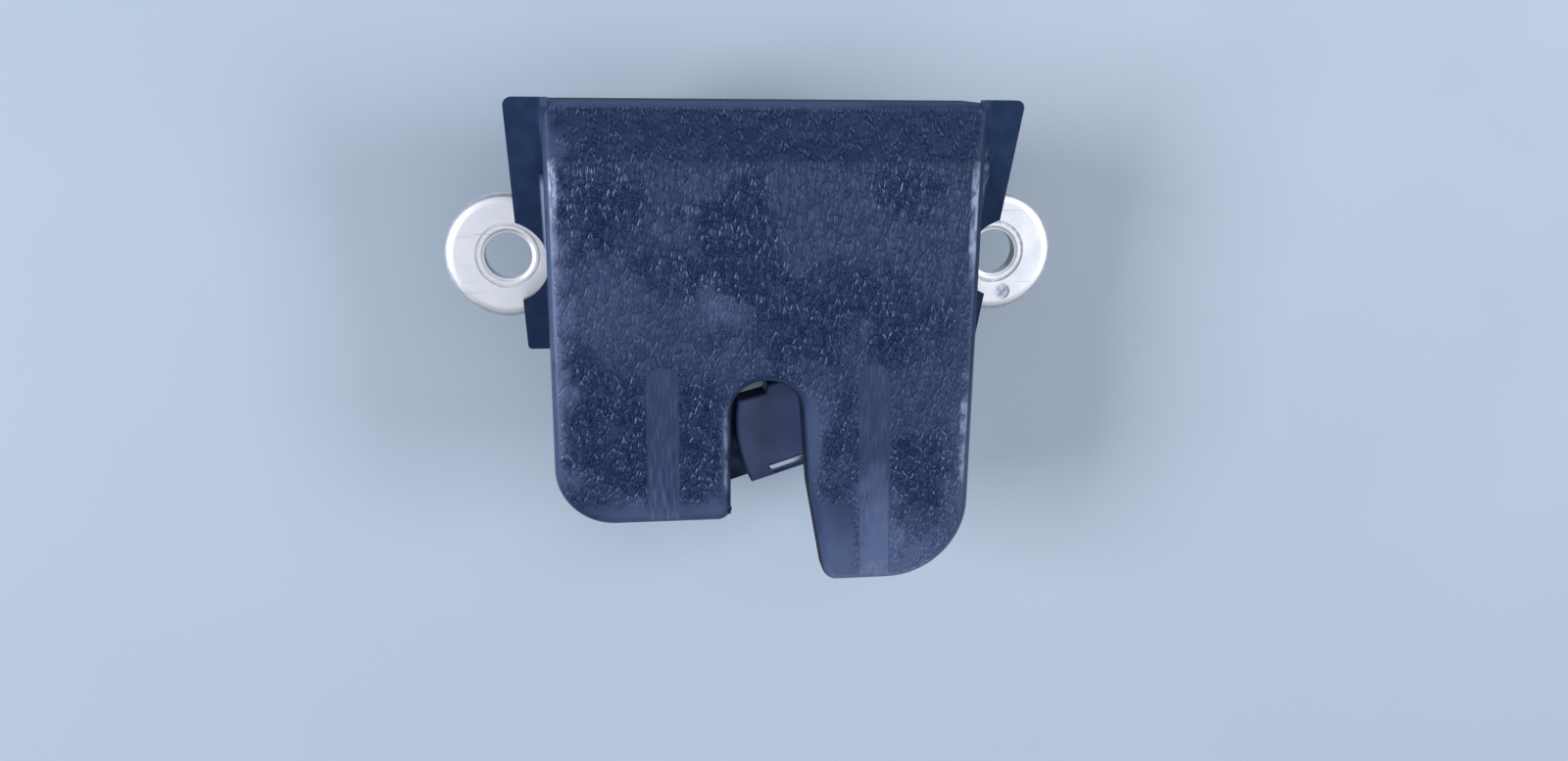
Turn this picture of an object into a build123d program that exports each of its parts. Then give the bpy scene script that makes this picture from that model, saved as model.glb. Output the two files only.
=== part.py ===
from build123d import *
from math import acos, atan2, cos, degrees, hypot, pi, radians, sin, sqrt
import os

# Tailgate lock for a car. It lies on its back: X runs between the two bolt holes, -Y is the way the
# striker leaves, +Z comes out of the grained cover. The origin is midway between the bolt holes on
# the front face of the mounting ears. All lengths are in millimetres, all angles in degrees.

# Clearances
FIT = 0.02
RUN = 0.05
GAP = 0.15
EASE = 0.3

# Mounting ears and base plate
EAR_REACH = 8.3
BOLT_HOLE_R = 4.5
EAR_R = 11.9
EAR_NECK_DROP = 1.4
EAR_NECK_IN = 3.5
EAR_NECK_FLARE = 3.0
EAR_RIM_R = 0.9
COIN_RING_R = 6.2
COIN_RING_W = 0.5
COIN_DEPTH = 0.25
PLATE_T = 3.0
PLATE_INSET = 0.4
PLATE_TOP_Y = 26.6
PLATE_SLOT_HALF_W = 5.6
PLATE_SLOT_TOP_Y = -19.6
PLATE_SLOT_MOUTH = ((11.6, -46.0), (14.6, -62.6))
PLATE_SLOT_LEFT_EASE = 3.0
PLATE_CORNER_R = 2.0
PUNCH_MARK_AT = (50.0, -8.2)
PUNCH_MARK_R = 1.5
PUNCH_MARK_DEPTH = 0.3

# Front cover
COVER_HALF_W = 39.3
COVER_RIGHT_FLARE = 0.3
FACE_Z = 19.0
COVER_WALL = 2.0
COVER_ROOF = 2.2
LEFT_LOBE_Y = -48.3
RIGHT_LOBE_Y = -61.6
LEFT_CORNER_R = 11.0
RIGHT_CORNER_R = 15.6
BAND_FOLD_Y = 19.2
BAND_TOP_Y = 29.4
BAND_RISE = 1.7
FACE_EDGE_R = 1.8
BAND_EDGE_R = 1.1
SLOT_WALL_DEPTH = 5.6

# Slot for the striker, in the cover
SLOT_HALF_W = 6.6
SLOT_RIGHT_IN = 0.2
SLOT_ARCH_Y = -21.2
SLOT_ARCH_R = 6.3
SLOT_BEND = (8.1, -42.0)
SLOT_BEND_R = 12.0
SLOT_MOUTH_X = 11.7
SLOT_LEFT_MOUTH_R = 2.5
SLOT_RIGHT_MOUTH_R = 3.0

# Smooth inserts in the cover's face: x and y of the top, x of the foot
STRIPS = ((-19.35, -17.8, -19.35), (20.25, -17.9, 21.25))
STRIP_R = 2.95
STRIP_DEPTH = 0.08

# Side wings of the cover
WING_OVERHANG_TOP = 6.1
WING_OVERHANG_END = 5.2
WING_TOP_Y = 30.1
WING_END_Y = -18.2
WING_TOP_Z = 21.3
WING_SLOPE = 23.2
WING_T = 2.2
WING_CORNER_R = 1.5
WING_END_R = 0.8
WING_ROOT = 1.4
WING_ROOT_R = 0.3
WING_FILLET_R = 1.2
WING_FILLET_END_Y = 16.9
BOLT_RELIEF_R = 8.15
RIB_T = 1.4
RIB_EDGE = 0.4
RIB_YS = (13.0, 20.0, 27.0)

# Cover fixings
CLIP_XS = (-24.0, 24.0)
CLIP_W = 7.0
CLIP_HOOK = 0.9
CLIP_HOOK_L = 1.6
CLIP_T = 1.6
CLIP_TIE_Z = (4.0, 8.0)
COVER_POSTS = ((-31.5, -34.0), (35.0, -49.6))
COVER_SCREW_L = 9.0

# Catch
CATCH_PIVOT = (22.0, -31.0)
CATCH_OPEN = 197.7
CATCH_CLOSE_TURN = -54.6
CORE_Z = 1.0
CORE_T = 4.0
CORE_TIP_R = 33.0
CORE_HUB_R = 10.0
CORE_JAW_V = -4.8
CORE_TOP_V = 10.9
MOUTH_W = 9.6
MOUTH_ROOT = 14.5
HOOK_TIP = 16.0
HOOK_OUTER_R = 22.4
HOOK_HEEL_U = 2.0
JACKET_T = 5.5
JACKET_TIP_R = 27.0
JACKET_HUB_T = 1.2
JACKET_START = 9.0
JACKET_TOP_V = 11.7
JACKET_STEP_V = 13.2
JACKET_STEP_U = 17.8
JACKET_EDGE_R = 0.7
RIB_PILL_W = 1.3
RIB_PILL_U = (14.6, 21.8)
RIB_PILL_V = -3.0
RIB_PILL_RISE = 0.3
RIB_PILL_EDGE_R = 0.4
JAW_GROOVE_V = -4.05
JAW_GROOVE_W = 0.3
JAW_GROOVE_DEPTH = 0.5

# Rivets
PIVOT_R = 4.0
TENON_R = 3.0
PAWL_TENON_R = 2.2
SPACER_TENON_R = 1.8
HEAD_R = 5.2
HEAD_RATIO = 1.75
HEAD_T = 1.4
HEAD_EDGE_R = 0.8
SPACER_AT = (33.0, -11.5)
SPACER_R = 2.6

# Rubber striker buffer
BUFFER_T = 1.7
BUFFER_ROOM_R = 4.9
BUFFER_LIP = 1.0
BUFFER_LIP_T = 0.6

# Retaining plate over the catch
RETAINER_GAP = 0.8
RETAINER_T = 1.5
RETAINER_SLOT_EASE = 0.9
RETAINER_BY_PAWL = ((-11.0, 16.0, 4), (-11.0, -10.0, 6), (-5.0, -16.5, 4), (5.0, -16.5, 0), (5.0, -24.0, 0))
RETAINER_BY_CATCH = ((4.0, -19.5, 5), (8.0, -13.0, 5), (14.5, -11.0, 3))
RETAINER_BY_SPACER = ((3.5, 3.5, 4), (-11.0, 3.5, 3), (-21.0, -3.0, 3), (-47.0, -0.5, 3))
RETAINER_LEFT_CUT = 6.0

# Pawl
PAWL_PIVOT = (-17.0, -28.0)
PAWL_LIFT = 7.0
PAWL_HUB_R = 5.5
PAWL_PIVOT_R = 2.8
PAWL_NOSE_R = 16.1
PAWL_NOSE_ANGLE = 46.7
PAWL_SHOULDER_ANGLE = 60.0
PAWL_ARM_LEFT = 97.0
PAWL_SWEEP_EASE = 0.45
RELEASE_PIN_HOME = (-6.0, -3.0)
RELEASE_PIN_R = 2.0
RELEASE_PIN_SHORT = 0.6
RELEASE_TENON_R = 1.5
RELEASE_HEAD_T = 0.8
RELEASE_BOSS_R = 4.0
RELEASE_WINDOW_EASE = 0.8
PAWL_PAD_T = 1.6
PAWL_PAD_INSET = 1.0

# Torsion springs
WIRE_R = 0.45
CATCH_COIL_R = 8.3
PAWL_COIL_R = 4.2
COIL_TURNS = 3
COIL_PITCH = 1.05
CATCH_LEG_PAST = 3.0
CATCH_LEG_OUT = 6.0
PAWL_COIL_LIFT = 0.4
PAWL_COIL_START = -30
PAWL_COIL_EXTRA = 100
PAWL_LEG_IN = 6.0
PAWL_LEG_OUT = 8.0

# Rear actuator housing
HOUSING_HALF_W = 38.0
HOUSING_TOP_Y = 24.5
HOUSING_END_Y = -24.0
HOUSING_DEPTH = 21.2
HOUSING_WALL = 2.0
HOUSING_CORNER_R = 4.0
NOTCH_HALF_W = 8.6
NOTCH_TOP_Y = -18.2
NOTCH_R = 1.0
SEAL_T = 0.8
SEAL_INSET = 0.35
LID_T = 3.0
LID_EDGE = 0.6
LID_RAISE = 1.2
LID_RAISE_EDGE = 0.5
LID_RAISE_R = 3.0
LID_RAISE_ROOM = 1.8
LID_PAD = ((20.0, 29.5), (-15.0, 14.0))
POST_R = 3.0
POST_ROOT = 0.5
POST_IN = 2.4
SCREW_R = 1.3
SCREW_HEAD_R = 2.5
SCREW_HEAD_T = 1.5
SCREW_EDGE_R = 0.5
RECESS_L = 2.8
RECESS_W = 0.6
RECESS_DEPTH = 0.8
LID_SCREW_L = 10.0
HOUSING_SCREW_L = 8.5
HOUSING_POST_T = 5.0

# Worm wheel, cam and axle
WHEEL_AT = (3.0, -3.0)
WHEEL_TRAVEL = 150.0
WHEEL_TEETH = 30
MODULE = 0.8
WHEEL_FACE_W = 5.0
WORM_R = 3.2
WORM_TURNS = 5
GEAR_MID_Z = -16.0
AXLE_R = 2.0
WHEEL_HUB_R = 4.5
WHEEL_WEB_T = 2.4
RIM_T = 2.2
CAM_T = 5.2
CAM_GAP = 0.1
CAM_WALL_GAP = 2.0
CAM_DWELL = 20.0
CAM_STEPS = 24
HUB_BOSS_T = 1.2
HUB_PLAY = 0.2
LID_BOSS_T = 2.5
AXLE_END = 0.9
TOOTH_ROOT_HALF = 0.62
TOOTH_TIP_HALF = 0.3
THREAD_ROOT_HALF = 0.45
THREAD_TIP_HALF = 0.22
THREAD_SINK = 0.3

# Motor
MOTOR_R = 10.0
MOTOR_HALF_FLAT = 7.7
MOTOR_WALL = 1.2
MOTOR_END_GAP = 1.3
MOTOR_CAP_L = 1.8
MOTOR_FRONT_X = -10.5
MOTOR_NOSE_R = 3.0
MOTOR_NOSE_L = 1.5
SHAFT_R = 1.0
ROTOR_R = 6.0
ROTOR_GAP = 3.5
BEARING_T = 2.5
BEARING_HALF_W = 3.5
BEARING_GAP = 1.0
CRADLE_T = 2.0
CRADLE_HALF_W = 5.0
CRADLE_IN = 4.0

# Position switch
SWITCH_X = 16.6
SWITCH_POST_GAP = 1.0
SWITCH_EDGE = 0.6
SWITCH_W = 8.0
SWITCH_T = 8.5
PLUNGER_R = 1.2
PLUNGER_Z = -10.0
PLUNGER_L = 8.5
PLUNGER_STROKE = 1.5
PLUNGER_TIP_R = 0.9

# Connector
SOCKET_IN = 15.0
SOCKET_W = 19.0
SOCKET_H = 13.0
SOCKET_L = 14.0
SOCKET_WALL = 1.5
SOCKET_EDGE_R = 1.2
SOCKET_CATCH = (5.0, 1.5, 0.9)
SOCKET_CATCH_IN = 2.0
SOCKET_Z = -14.5
PIN_COUNT = 4
PIN_PITCH = 3.6
PIN_W = 1.2
PIN_T = 0.6
PIN_REACH = 6.0
PIN_TAIL = 3.0

# Derived levels and places
PLATE_BACK_Z = -PLATE_T
CORE_TOP_Z = CORE_Z + CORE_T
JACKET_TOP_Z = CORE_TOP_Z + JACKET_T
RETAINER_Z = JACKET_TOP_Z + RETAINER_GAP
RETAINER_TOP_Z = RETAINER_Z + RETAINER_T
ROOF_Z = FACE_Z - COVER_ROOF
HOUSING_FRONT_Z = PLATE_BACK_Z - HOUSING_WALL
RIM_Z = PLATE_BACK_Z - HOUSING_DEPTH
LID_Z = RIM_Z - SEAL_T
BACK_Z = LID_Z - LID_T - LID_RAISE
COVER_RIGHT_X = COVER_HALF_W + COVER_RIGHT_FLARE
WING_STEP_X = COVER_HALF_W - WING_ROOT
WING_HALF_W_TOP = COVER_HALF_W + WING_OVERHANG_TOP
WING_HALF_W_END = COVER_HALF_W + WING_OVERHANG_END
HOLE_SPACING = 2 * (COVER_HALF_W + EAR_REACH)
TENON_R_AT = {CATCH_PIVOT: TENON_R, PAWL_PIVOT: PAWL_TENON_R, SPACER_AT: SPACER_TENON_R}
WHEEL_R = MODULE * WHEEL_TEETH / 2
WORM_Y = WHEEL_AT[1] + WHEEL_R + WORM_R
WORM_LEAD = pi * MODULE
THREAD_L = WORM_TURNS * WORM_LEAD
WORM_L = THREAD_L + 2.0
WORM_PHASE = 360 * (0.25 - WORM_TURNS / 2)
ADDENDUM = MODULE
DEDENDUM = 1.2 * MODULE
CAM_LOW_Z = HOUSING_FRONT_Z - CAM_WALL_GAP - CAM_T
PIN_END_Z = CAM_LOW_Z + RELEASE_PIN_SHORT
POST_X = HOUSING_HALF_W - HOUSING_WALL - POST_IN
POST_TOP_Y = HOUSING_TOP_Y - HOUSING_WALL - POST_IN
POST_END_Y = HOUSING_END_Y + HOUSING_WALL + POST_IN
LID_POSTS = (
    (-POST_X, POST_END_Y), (-POST_X, -1.5), (POST_X, POST_END_Y), (POST_X, -1.5), (POST_X, POST_TOP_Y),
    (-14.0, POST_END_Y),
)
HOUSING_SCREWS_AT = (
    (-7.0, 20.2), (HOUSING_HALF_W - 7.0, 18.6), (14.0 - HOUSING_HALF_W, -14.0), (HOUSING_HALF_W - 11.0, -12.0),
)
MOTOR_BACK_X = HOUSING_WALL + MOTOR_END_GAP + MOTOR_CAP_L - HOUSING_HALF_W
CRADLE_XS = (MOTOR_FRONT_X - CRADLE_IN, MOTOR_BACK_X + CRADLE_IN)
BEARING_X = WHEEL_AT[0] + WORM_L / 2 + BEARING_GAP
SWITCH_L = POST_X - POST_R - SWITCH_POST_GAP - SWITCH_X
SOCKET_X = HOUSING_HALF_W - SOCKET_IN


def turned(point, centre, angle):
    """The point after a turn about the centre."""
    dx, dy = point[0] - centre[0], point[1] - centre[1]
    c, s = cos(radians(angle)), sin(radians(angle))
    return centre[0] + dx * c - dy * s, centre[1] + dx * s + dy * c


def polar(centre, radius, angle):
    """The point at a radius and an angle from the centre."""
    return centre[0] + radius * cos(radians(angle)), centre[1] + radius * sin(radians(angle))


def cylinder(centre, radius, z_low, z_high):
    """A disc, post or hole along Z."""
    return Pos(centre[0], centre[1], z_low) * Cylinder(
        radius, z_high - z_low, align=(Align.CENTER, Align.CENTER, Align.MIN)
    )


def block(x_range, y_range, z_range):
    """A box between three pairs of limits."""
    sizes = [high - low for low, high in (x_range, y_range, z_range)]
    return Pos(x_range[0], y_range[0], z_range[0]) * Box(*sizes, align=(Align.MIN,) * 3)


def prism(face, z_low, z_high):
    """A face in the XY plane pulled out between two levels."""
    return Pos(0, 0, z_low) * extrude(face, z_high - z_low, dir=(0, 0, 1))


def rounded(corners):
    """A face from (x, y, radius) corners, with radius 0 for a sharp corner."""
    points = [(x, y) for x, y, _ in corners]
    outline = FilletPolyline(*points, radius=[r for _, _, r in corners], close=True)
    return make_face(outline)


def capsule(start, end, radius):
    """A slot shape around the line from start to end."""
    length = hypot(end[0] - start[0], end[1] - start[1])
    angle = degrees(atan2(end[1] - start[1], end[0] - start[0]))
    middle = ((start[0] + end[0]) / 2, (start[1] + end[1]) / 2)
    return Pos(*middle) * Rot(0, 0, angle) * SlotCenterToCenter(length, 2 * radius)


def edges_at(part, z_low, z_high, keep):
    """The edges of a part whose ends both lie between two levels and whose centre passes keep."""
    found = []
    for edge in part.edges():
        ends = [edge.position_at(0), edge.position_at(1), edge.position_at(0.5)]
        if all(z_low <= p.Z <= z_high for p in ends) and keep(edge.center()):
            found.append(edge)
    return found


# Cover

def cover_outline():
    """The cover seen from the front, with the striker slot."""
    return rounded([
        (-COVER_HALF_W, BAND_TOP_Y, 0),
        (-COVER_HALF_W, LEFT_LOBE_Y, LEFT_CORNER_R),
        (-SLOT_HALF_W, LEFT_LOBE_Y, SLOT_LEFT_MOUTH_R),
        (-SLOT_HALF_W, SLOT_ARCH_Y, SLOT_ARCH_R),
        (SLOT_HALF_W - SLOT_RIGHT_IN, SLOT_ARCH_Y, SLOT_ARCH_R),
        (*SLOT_BEND, SLOT_BEND_R),
        (SLOT_MOUTH_X, RIGHT_LOBE_Y, SLOT_RIGHT_MOUTH_R),
        (COVER_RIGHT_X, RIGHT_LOBE_Y, RIGHT_CORNER_R),
        (COVER_RIGHT_X, BAND_TOP_Y, 0),
    ])


def side_profile(drop, y_low, y_high, z_low):
    """The cover's length profile in YZ, with its roof lowered by drop."""
    rise_end = BAND_RISE * (y_high - BAND_FOLD_Y) / (BAND_TOP_Y - BAND_FOLD_Y)
    points = [
        (y_low, z_low),
        (y_low, FACE_Z - drop),
        (BAND_FOLD_Y, FACE_Z - drop),
        (y_high, FACE_Z - drop + rise_end),
        (y_high, z_low),
    ]
    face = Plane.YZ * make_face(Polyline(*points, close=True))
    reach = 2 * COVER_HALF_W
    return Pos(-reach, 0, 0) * extrude(face, 2 * reach, dir=(1, 0, 0))


def wing_slab(side):
    """One sloped wing, with its ribs, before the bolt relief is cut."""
    slope = sin(radians(WING_SLOPE)) / cos(radians(WING_SLOPE))
    plan = rounded([
        (side * WING_STEP_X, WING_TOP_Y, WING_ROOT_R),
        (side * WING_HALF_W_TOP, WING_TOP_Y, WING_CORNER_R),
        (side * WING_HALF_W_END, WING_END_Y, WING_END_R),
        (side * WING_STEP_X, WING_END_Y, WING_ROOT_R),
    ])

    def below(level):
        """Everything under the wing's plane, shifted up by level, down to the plate."""
        top = WING_TOP_Z + level
        end = top - slope * (WING_TOP_Y - WING_END_Y + 2)
        points = [
            (WING_TOP_Y + 1, 0),
            (WING_TOP_Y + 1, top + slope),
            (WING_END_Y - 1, end + slope),
            (WING_END_Y - 1, 0),
        ]
        if end + slope < 0:
            points = points[:2] + [(WING_TOP_Y - top / slope, 0)]
        face = Plane.YZ * make_face(Polyline(*points, close=True))
        reach = 2 * COVER_HALF_W
        return Pos(-reach, 0, 0) * extrude(face, 2 * reach, dir=(1, 0, 0))

    column = prism(plan, 0, WING_TOP_Z + 2)
    thickness = WING_T / cos(radians(WING_SLOPE))
    solid = column & below(0)
    web = solid - (below(-thickness) & column)
    ribs = [
        solid & block(sorted((side * WING_STEP_X, side * (WING_HALF_W_END - RIB_EDGE))),
                      (y - RIB_T / 2, y + RIB_T / 2), (0, WING_TOP_Z))
        for y in RIB_YS
    ]
    for rib in ribs:
        web += rib
    return web


def wing_fillet(side):
    """The soft corner between a wing and the side of the cover."""
    wall_x = -COVER_HALF_W if side < 0 else COVER_RIGHT_X
    fall, run = sin(radians(WING_SLOPE)), cos(radians(WING_SLOPE))
    middle_z = WING_TOP_Z - WING_TOP_Y * fall / run
    along = Plane(origin=(wall_x, 0, middle_z), x_dir=(side, 0, 0), z_dir=(0, -side * run, -side * fall))
    square = Pos(WING_FILLET_R / 2, WING_FILLET_R / 2) * Rectangle(WING_FILLET_R, WING_FILLET_R)
    corner = square - Pos(WING_FILLET_R, WING_FILLET_R) * Circle(WING_FILLET_R)
    reach = WING_TOP_Y - WING_END_Y
    strip = extrude(along * corner, reach, both=True)
    spread = sorted((wall_x, wall_x + side * WING_FILLET_R))
    return strip & block(spread, (WING_END_Y, WING_FILLET_END_Y), (0, FACE_Z))


def make_front_cover():
    """The grained plastic cover with its skirt, slot walls, wings, screw posts and clips."""
    outline = cover_outline()
    shell = prism(outline, 0, FACE_Z)
    rim = edges_at(shell, FACE_Z - 0.01, FACE_Z + 0.01, lambda c: c.Y < BAND_TOP_Y - 0.1)
    shell = fillet(rim, FACE_EDGE_R)
    band_low = FACE_Z - 2 * FACE_EDGE_R
    span = block((-COVER_HALF_W, COVER_RIGHT_X), (BAND_FOLD_Y, BAND_TOP_Y), (band_low, FACE_Z + 2 * BAND_RISE))
    band = side_profile(0, BAND_FOLD_Y - 2, BAND_TOP_Y, band_low) & span
    edges = edges_at(band, FACE_Z - 0.01, FACE_Z + BAND_RISE + 0.01, lambda c: abs(c.X) > COVER_HALF_W - 0.1)
    band = fillet(edges, FACE_EDGE_R)
    top_z = FACE_Z + BAND_RISE
    shell += fillet(edges_at(band, top_z - 0.01, top_z + 0.01, lambda c: True), BAND_EDGE_R)
    inner = prism(offset(outline, -COVER_WALL, kind=Kind.ARC), -1, FACE_Z + BAND_RISE)
    shell -= inner & side_profile(COVER_ROOF, RIGHT_LOBE_Y - 1, BAND_TOP_Y, -1)
    slot_room = offset(cover_outline_slot(), COVER_WALL + EASE, kind=Kind.ARC)
    shell -= prism(slot_room, -1, FACE_Z - SLOT_WALL_DEPTH)
    for side_sign in (-1, 1):
        wing = wing_slab(side_sign) + wing_fillet(side_sign)
        wing -= inner & side_profile(COVER_ROOF, RIGHT_LOBE_Y - 1, BAND_TOP_Y, -1)
        shell += wing
        relief = cylinder((side_sign * HOLE_SPACING / 2, 0), BOLT_RELIEF_R, -1, WING_TOP_Z)
        shell -= relief
    for x, y in COVER_POSTS:
        shell += cylinder((x, y), POST_R, 0, ROOF_Z + POST_ROOT)
        shell -= cylinder((x, y), SCREW_R + RUN, -1, COVER_SCREW_L)
    for x in CLIP_XS:
        shell += clip_arm(x)
    for x_top, y_top, x_foot in STRIPS:
        strip = capsule((x_top, y_top - STRIP_R), (x_foot, RIGHT_LOBE_Y), STRIP_R)
        shell -= prism(strip, FACE_Z - STRIP_DEPTH, FACE_Z + 1)
    return shell


def clip_arm(x):
    """A snap arm on the cover's top wall that hooks behind the base plate's top edge."""
    hook_z = PLATE_BACK_Z - GAP
    arm_y = PLATE_TOP_Y + GAP
    span = (x - CLIP_W / 2, x + CLIP_W / 2)
    arm = block(span, (arm_y, arm_y + CLIP_T), (hook_z - CLIP_HOOK_L, CLIP_TIE_Z[1]))
    tie = block(span, (arm_y, BAND_TOP_Y - COVER_WALL / 2), CLIP_TIE_Z)
    nose = Plane.YZ * make_face(Polyline(
        (arm_y, hook_z), (arm_y - CLIP_HOOK, hook_z), (arm_y, hook_z - CLIP_HOOK_L), close=True))
    return arm + tie + Pos(span[0], 0, 0) * extrude(nose, CLIP_W, dir=(1, 0, 0))


# Base plate

def plate_slot():
    """The slot in the base plate: narrow at the striker's end, wide at the mouth."""
    half, top_y = PLATE_SLOT_HALF_W, PLATE_SLOT_TOP_Y
    return rounded([
        (-half, LEFT_LOBE_Y, 1.5),
        (-half, top_y, half - 0.1),
        (half, top_y, half - 0.1),
        (half, top_y - 2.2 * half, 3.0),
        (*PLATE_SLOT_MOUTH[0], 6.0),
        (*PLATE_SLOT_MOUTH[1], 0),
        (-half - PLATE_SLOT_LEFT_EASE, PLATE_SLOT_MOUTH[1][1], 0),
        (-half - PLATE_SLOT_LEFT_EASE, LEFT_LOBE_Y, 0),
    ])


def release_window(ease):
    """The arc-shaped hole that the release pin travels in."""
    home = RELEASE_PIN_HOME
    lifted = turned(home, PAWL_PIVOT, PAWL_LIFT)
    return capsule(home, lifted, RELEASE_PIN_R + ease)


def make_base_plate():
    """The stamped steel plate with its two bolt ears."""
    half = COVER_HALF_W - PLATE_INSET
    body = rounded([
        (-half, PLATE_TOP_Y, PLATE_CORNER_R),
        (-half, LEFT_LOBE_Y + PLATE_INSET, LEFT_CORNER_R - PLATE_INSET),
        (0, LEFT_LOBE_Y + PLATE_INSET, 0),
        (0, RIGHT_LOBE_Y + PLATE_INSET, 0),
        (half, RIGHT_LOBE_Y + PLATE_INSET, RIGHT_CORNER_R - PLATE_INSET),
        (half, PLATE_TOP_Y, PLATE_CORNER_R),
    ])
    body -= plate_slot()
    plate = prism(body, PLATE_BACK_Z, 0)
    for sign in (-1, 1):
        ear_at = (sign * HOLE_SPACING / 2, 0)
        ear = prism(Pos(*ear_at) * Circle(EAR_R), PLATE_BACK_Z, 0)
        rim = edges_at(ear, -0.01, 0.01, lambda c: True)
        ear = fillet(rim, EAR_RIM_R)
        wide, narrow = EAR_R + EAR_NECK_FLARE, EAR_R - EAR_NECK_DROP
        neck_end = HOLE_SPACING / 2 - EAR_NECK_IN
        neck = prism(rounded([
            (sign * (half - 1), wide, 0),
            (sign * (half + 0.01), wide, 0),
            (sign * neck_end, narrow, 2),
            (sign * neck_end, -narrow, 2),
            (sign * (half + 0.01), -wide, 0),
            (sign * (half - 1), -wide, 0),
        ]), PLATE_BACK_Z, 0)
        plate += ear
        plate += neck
        plate -= cylinder(ear_at, BOLT_HOLE_R, PLATE_BACK_Z - 1, 1)
        plate -= (cylinder(ear_at, COIN_RING_R, -COIN_DEPTH, 1)
                  - cylinder(ear_at, COIN_RING_R - COIN_RING_W, -1, 1))
    plate -= cylinder(PUNCH_MARK_AT, PUNCH_MARK_R, -PUNCH_MARK_DEPTH, 1)
    for at in (CATCH_PIVOT, PAWL_PIVOT, SPACER_AT):
        plate -= cylinder(at, TENON_R_AT[at] + FIT, PLATE_BACK_Z - 1, 1)
    for at in HOUSING_SCREWS_AT + COVER_POSTS:
        plate -= cylinder(at, SCREW_R + GAP, PLATE_BACK_Z - 1, 1)
    plate -= prism(release_window(RELEASE_WINDOW_EASE), PLATE_BACK_Z - 1, 1)
    return plate


# Catch, in its own u, v directions: u along the leg from the pivot, v across it, jaw on the low side

def from_catch(face):
    """Places a catch shape drawn in u, v at the catch's open position."""
    return Pos(*CATCH_PIVOT) * Rot(0, 0, CATCH_OPEN) * mirror(face, Plane.XZ)


def catch_core_shape():
    """The fork of the catch: leg, mouth for the striker and hook."""
    far = CORE_TIP_R + 5
    jaw, top = CORE_JAW_V, CORE_TOP_V
    leg = make_face(Polyline((0, jaw), (far, jaw), (far, top), (0, CORE_HUB_R), close=True))
    leg &= Circle(CORE_TIP_R)
    hook_inner = jaw - MOUTH_W
    lower = make_face(Polyline(
        (-CORE_HUB_R / 2, 0), (MOUTH_ROOT + MOUTH_W, 0), (MOUTH_ROOT + MOUTH_W, hook_inner),
        (HOOK_TIP, hook_inner), (HOOK_TIP, -far), (HOOK_HEEL_U, -far), (HOOK_HEEL_U, hook_inner),
        close=True)) & Circle(HOOK_OUTER_R)
    root, middle = MOUTH_ROOT + MOUTH_W / 2, (jaw + hook_inner) / 2
    mouth = make_face(Polyline(
        (root, jaw), (far, jaw), (far, hook_inner), (root, hook_inner), close=True))
    mouth += Pos(root, middle) * Circle(MOUTH_W / 2)
    past_tip = make_face(Polyline(
        (HOOK_TIP, middle), (far, middle), (far, -far), (HOOK_TIP, -far), close=True))
    return leg + Circle(CORE_HUB_R) + lower - mouth - past_tip


def rib_pill(ease):
    """The long narrow pill where the steel shows through the jacket."""
    return capsule((RIB_PILL_U[0], RIB_PILL_V), (RIB_PILL_U[1], RIB_PILL_V), RIB_PILL_W / 2 + ease)


def make_catch_core():
    """The steel fork with the rib that shows in its jacket."""
    core = prism(from_catch(catch_core_shape()), CORE_Z, CORE_TOP_Z)
    rib_top = JACKET_TOP_Z + RIB_PILL_RISE
    rib = prism(from_catch(rib_pill(0)), CORE_TOP_Z, rib_top)
    core += fillet(edges_at(rib, rib_top - 0.01, rib_top + 0.01, lambda c: True), RIB_PILL_EDGE_R)
    return core - cylinder(CATCH_PIVOT, PIVOT_R + RUN, -1, CORE_TOP_Z + 1)


def make_catch_jacket():
    """The plastic jacket moulded on the catch, with a thin hub under the spring."""
    jaw = CORE_JAW_V
    far = JACKET_TIP_R + 5
    finger = make_face(Polyline(
        (JACKET_START, jaw), (far, jaw), (far, JACKET_TOP_V + 0.6), (JACKET_STEP_U + 0.9, JACKET_TOP_V),
        (JACKET_STEP_U, JACKET_STEP_V), (JACKET_START, JACKET_STEP_V), close=True)) & Circle(JACKET_TIP_R)
    body = prism(from_catch(finger), CORE_TOP_Z, JACKET_TOP_Z)
    rim = edges_at(body, JACKET_TOP_Z - 0.01, JACKET_TOP_Z + 0.01, lambda c: True)
    body = fillet(rim, JACKET_EDGE_R)
    body += cylinder(CATCH_PIVOT, CORE_HUB_R, CORE_TOP_Z, CORE_TOP_Z + JACKET_HUB_T)
    body -= cylinder(CATCH_PIVOT, PIVOT_R + EASE, 0, JACKET_TOP_Z)
    groove = capsule((RIB_PILL_U[0], JAW_GROOVE_V), (RIB_PILL_U[1], JAW_GROOVE_V), JAW_GROOVE_W / 2)
    body -= prism(from_catch(groove), JACKET_TOP_Z - JAW_GROOVE_DEPTH, JACKET_TOP_Z + 1)
    return body - prism(from_catch(rib_pill(FIT)), CORE_TOP_Z - 1, JACKET_TOP_Z + 1)


# Rivets

def rivet(at, shank_r, tenon_r, back_head=True):
    """A stepped rivet that joins the two plates, flush at the back where back_head is False."""
    head_r = min(HEAD_R, tenon_r * HEAD_RATIO)
    body = cylinder(at, shank_r, 0, RETAINER_Z)
    body += cylinder(at, tenon_r, PLATE_BACK_Z, RETAINER_TOP_Z)
    heads = [(RETAINER_TOP_Z, RETAINER_TOP_Z + HEAD_T)]
    if back_head:
        heads.append((PLATE_BACK_Z - HEAD_T, PLATE_BACK_Z))
    for z_low, z_high in heads:
        head = cylinder(at, head_r, z_low, z_high)
        outer_z = z_low if z_low < 0 else z_high
        head = fillet(edges_at(head, outer_z - 0.01, outer_z + 0.01, lambda c: True), HEAD_EDGE_R)
        body += head
    return body


# Retaining plate

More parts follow.
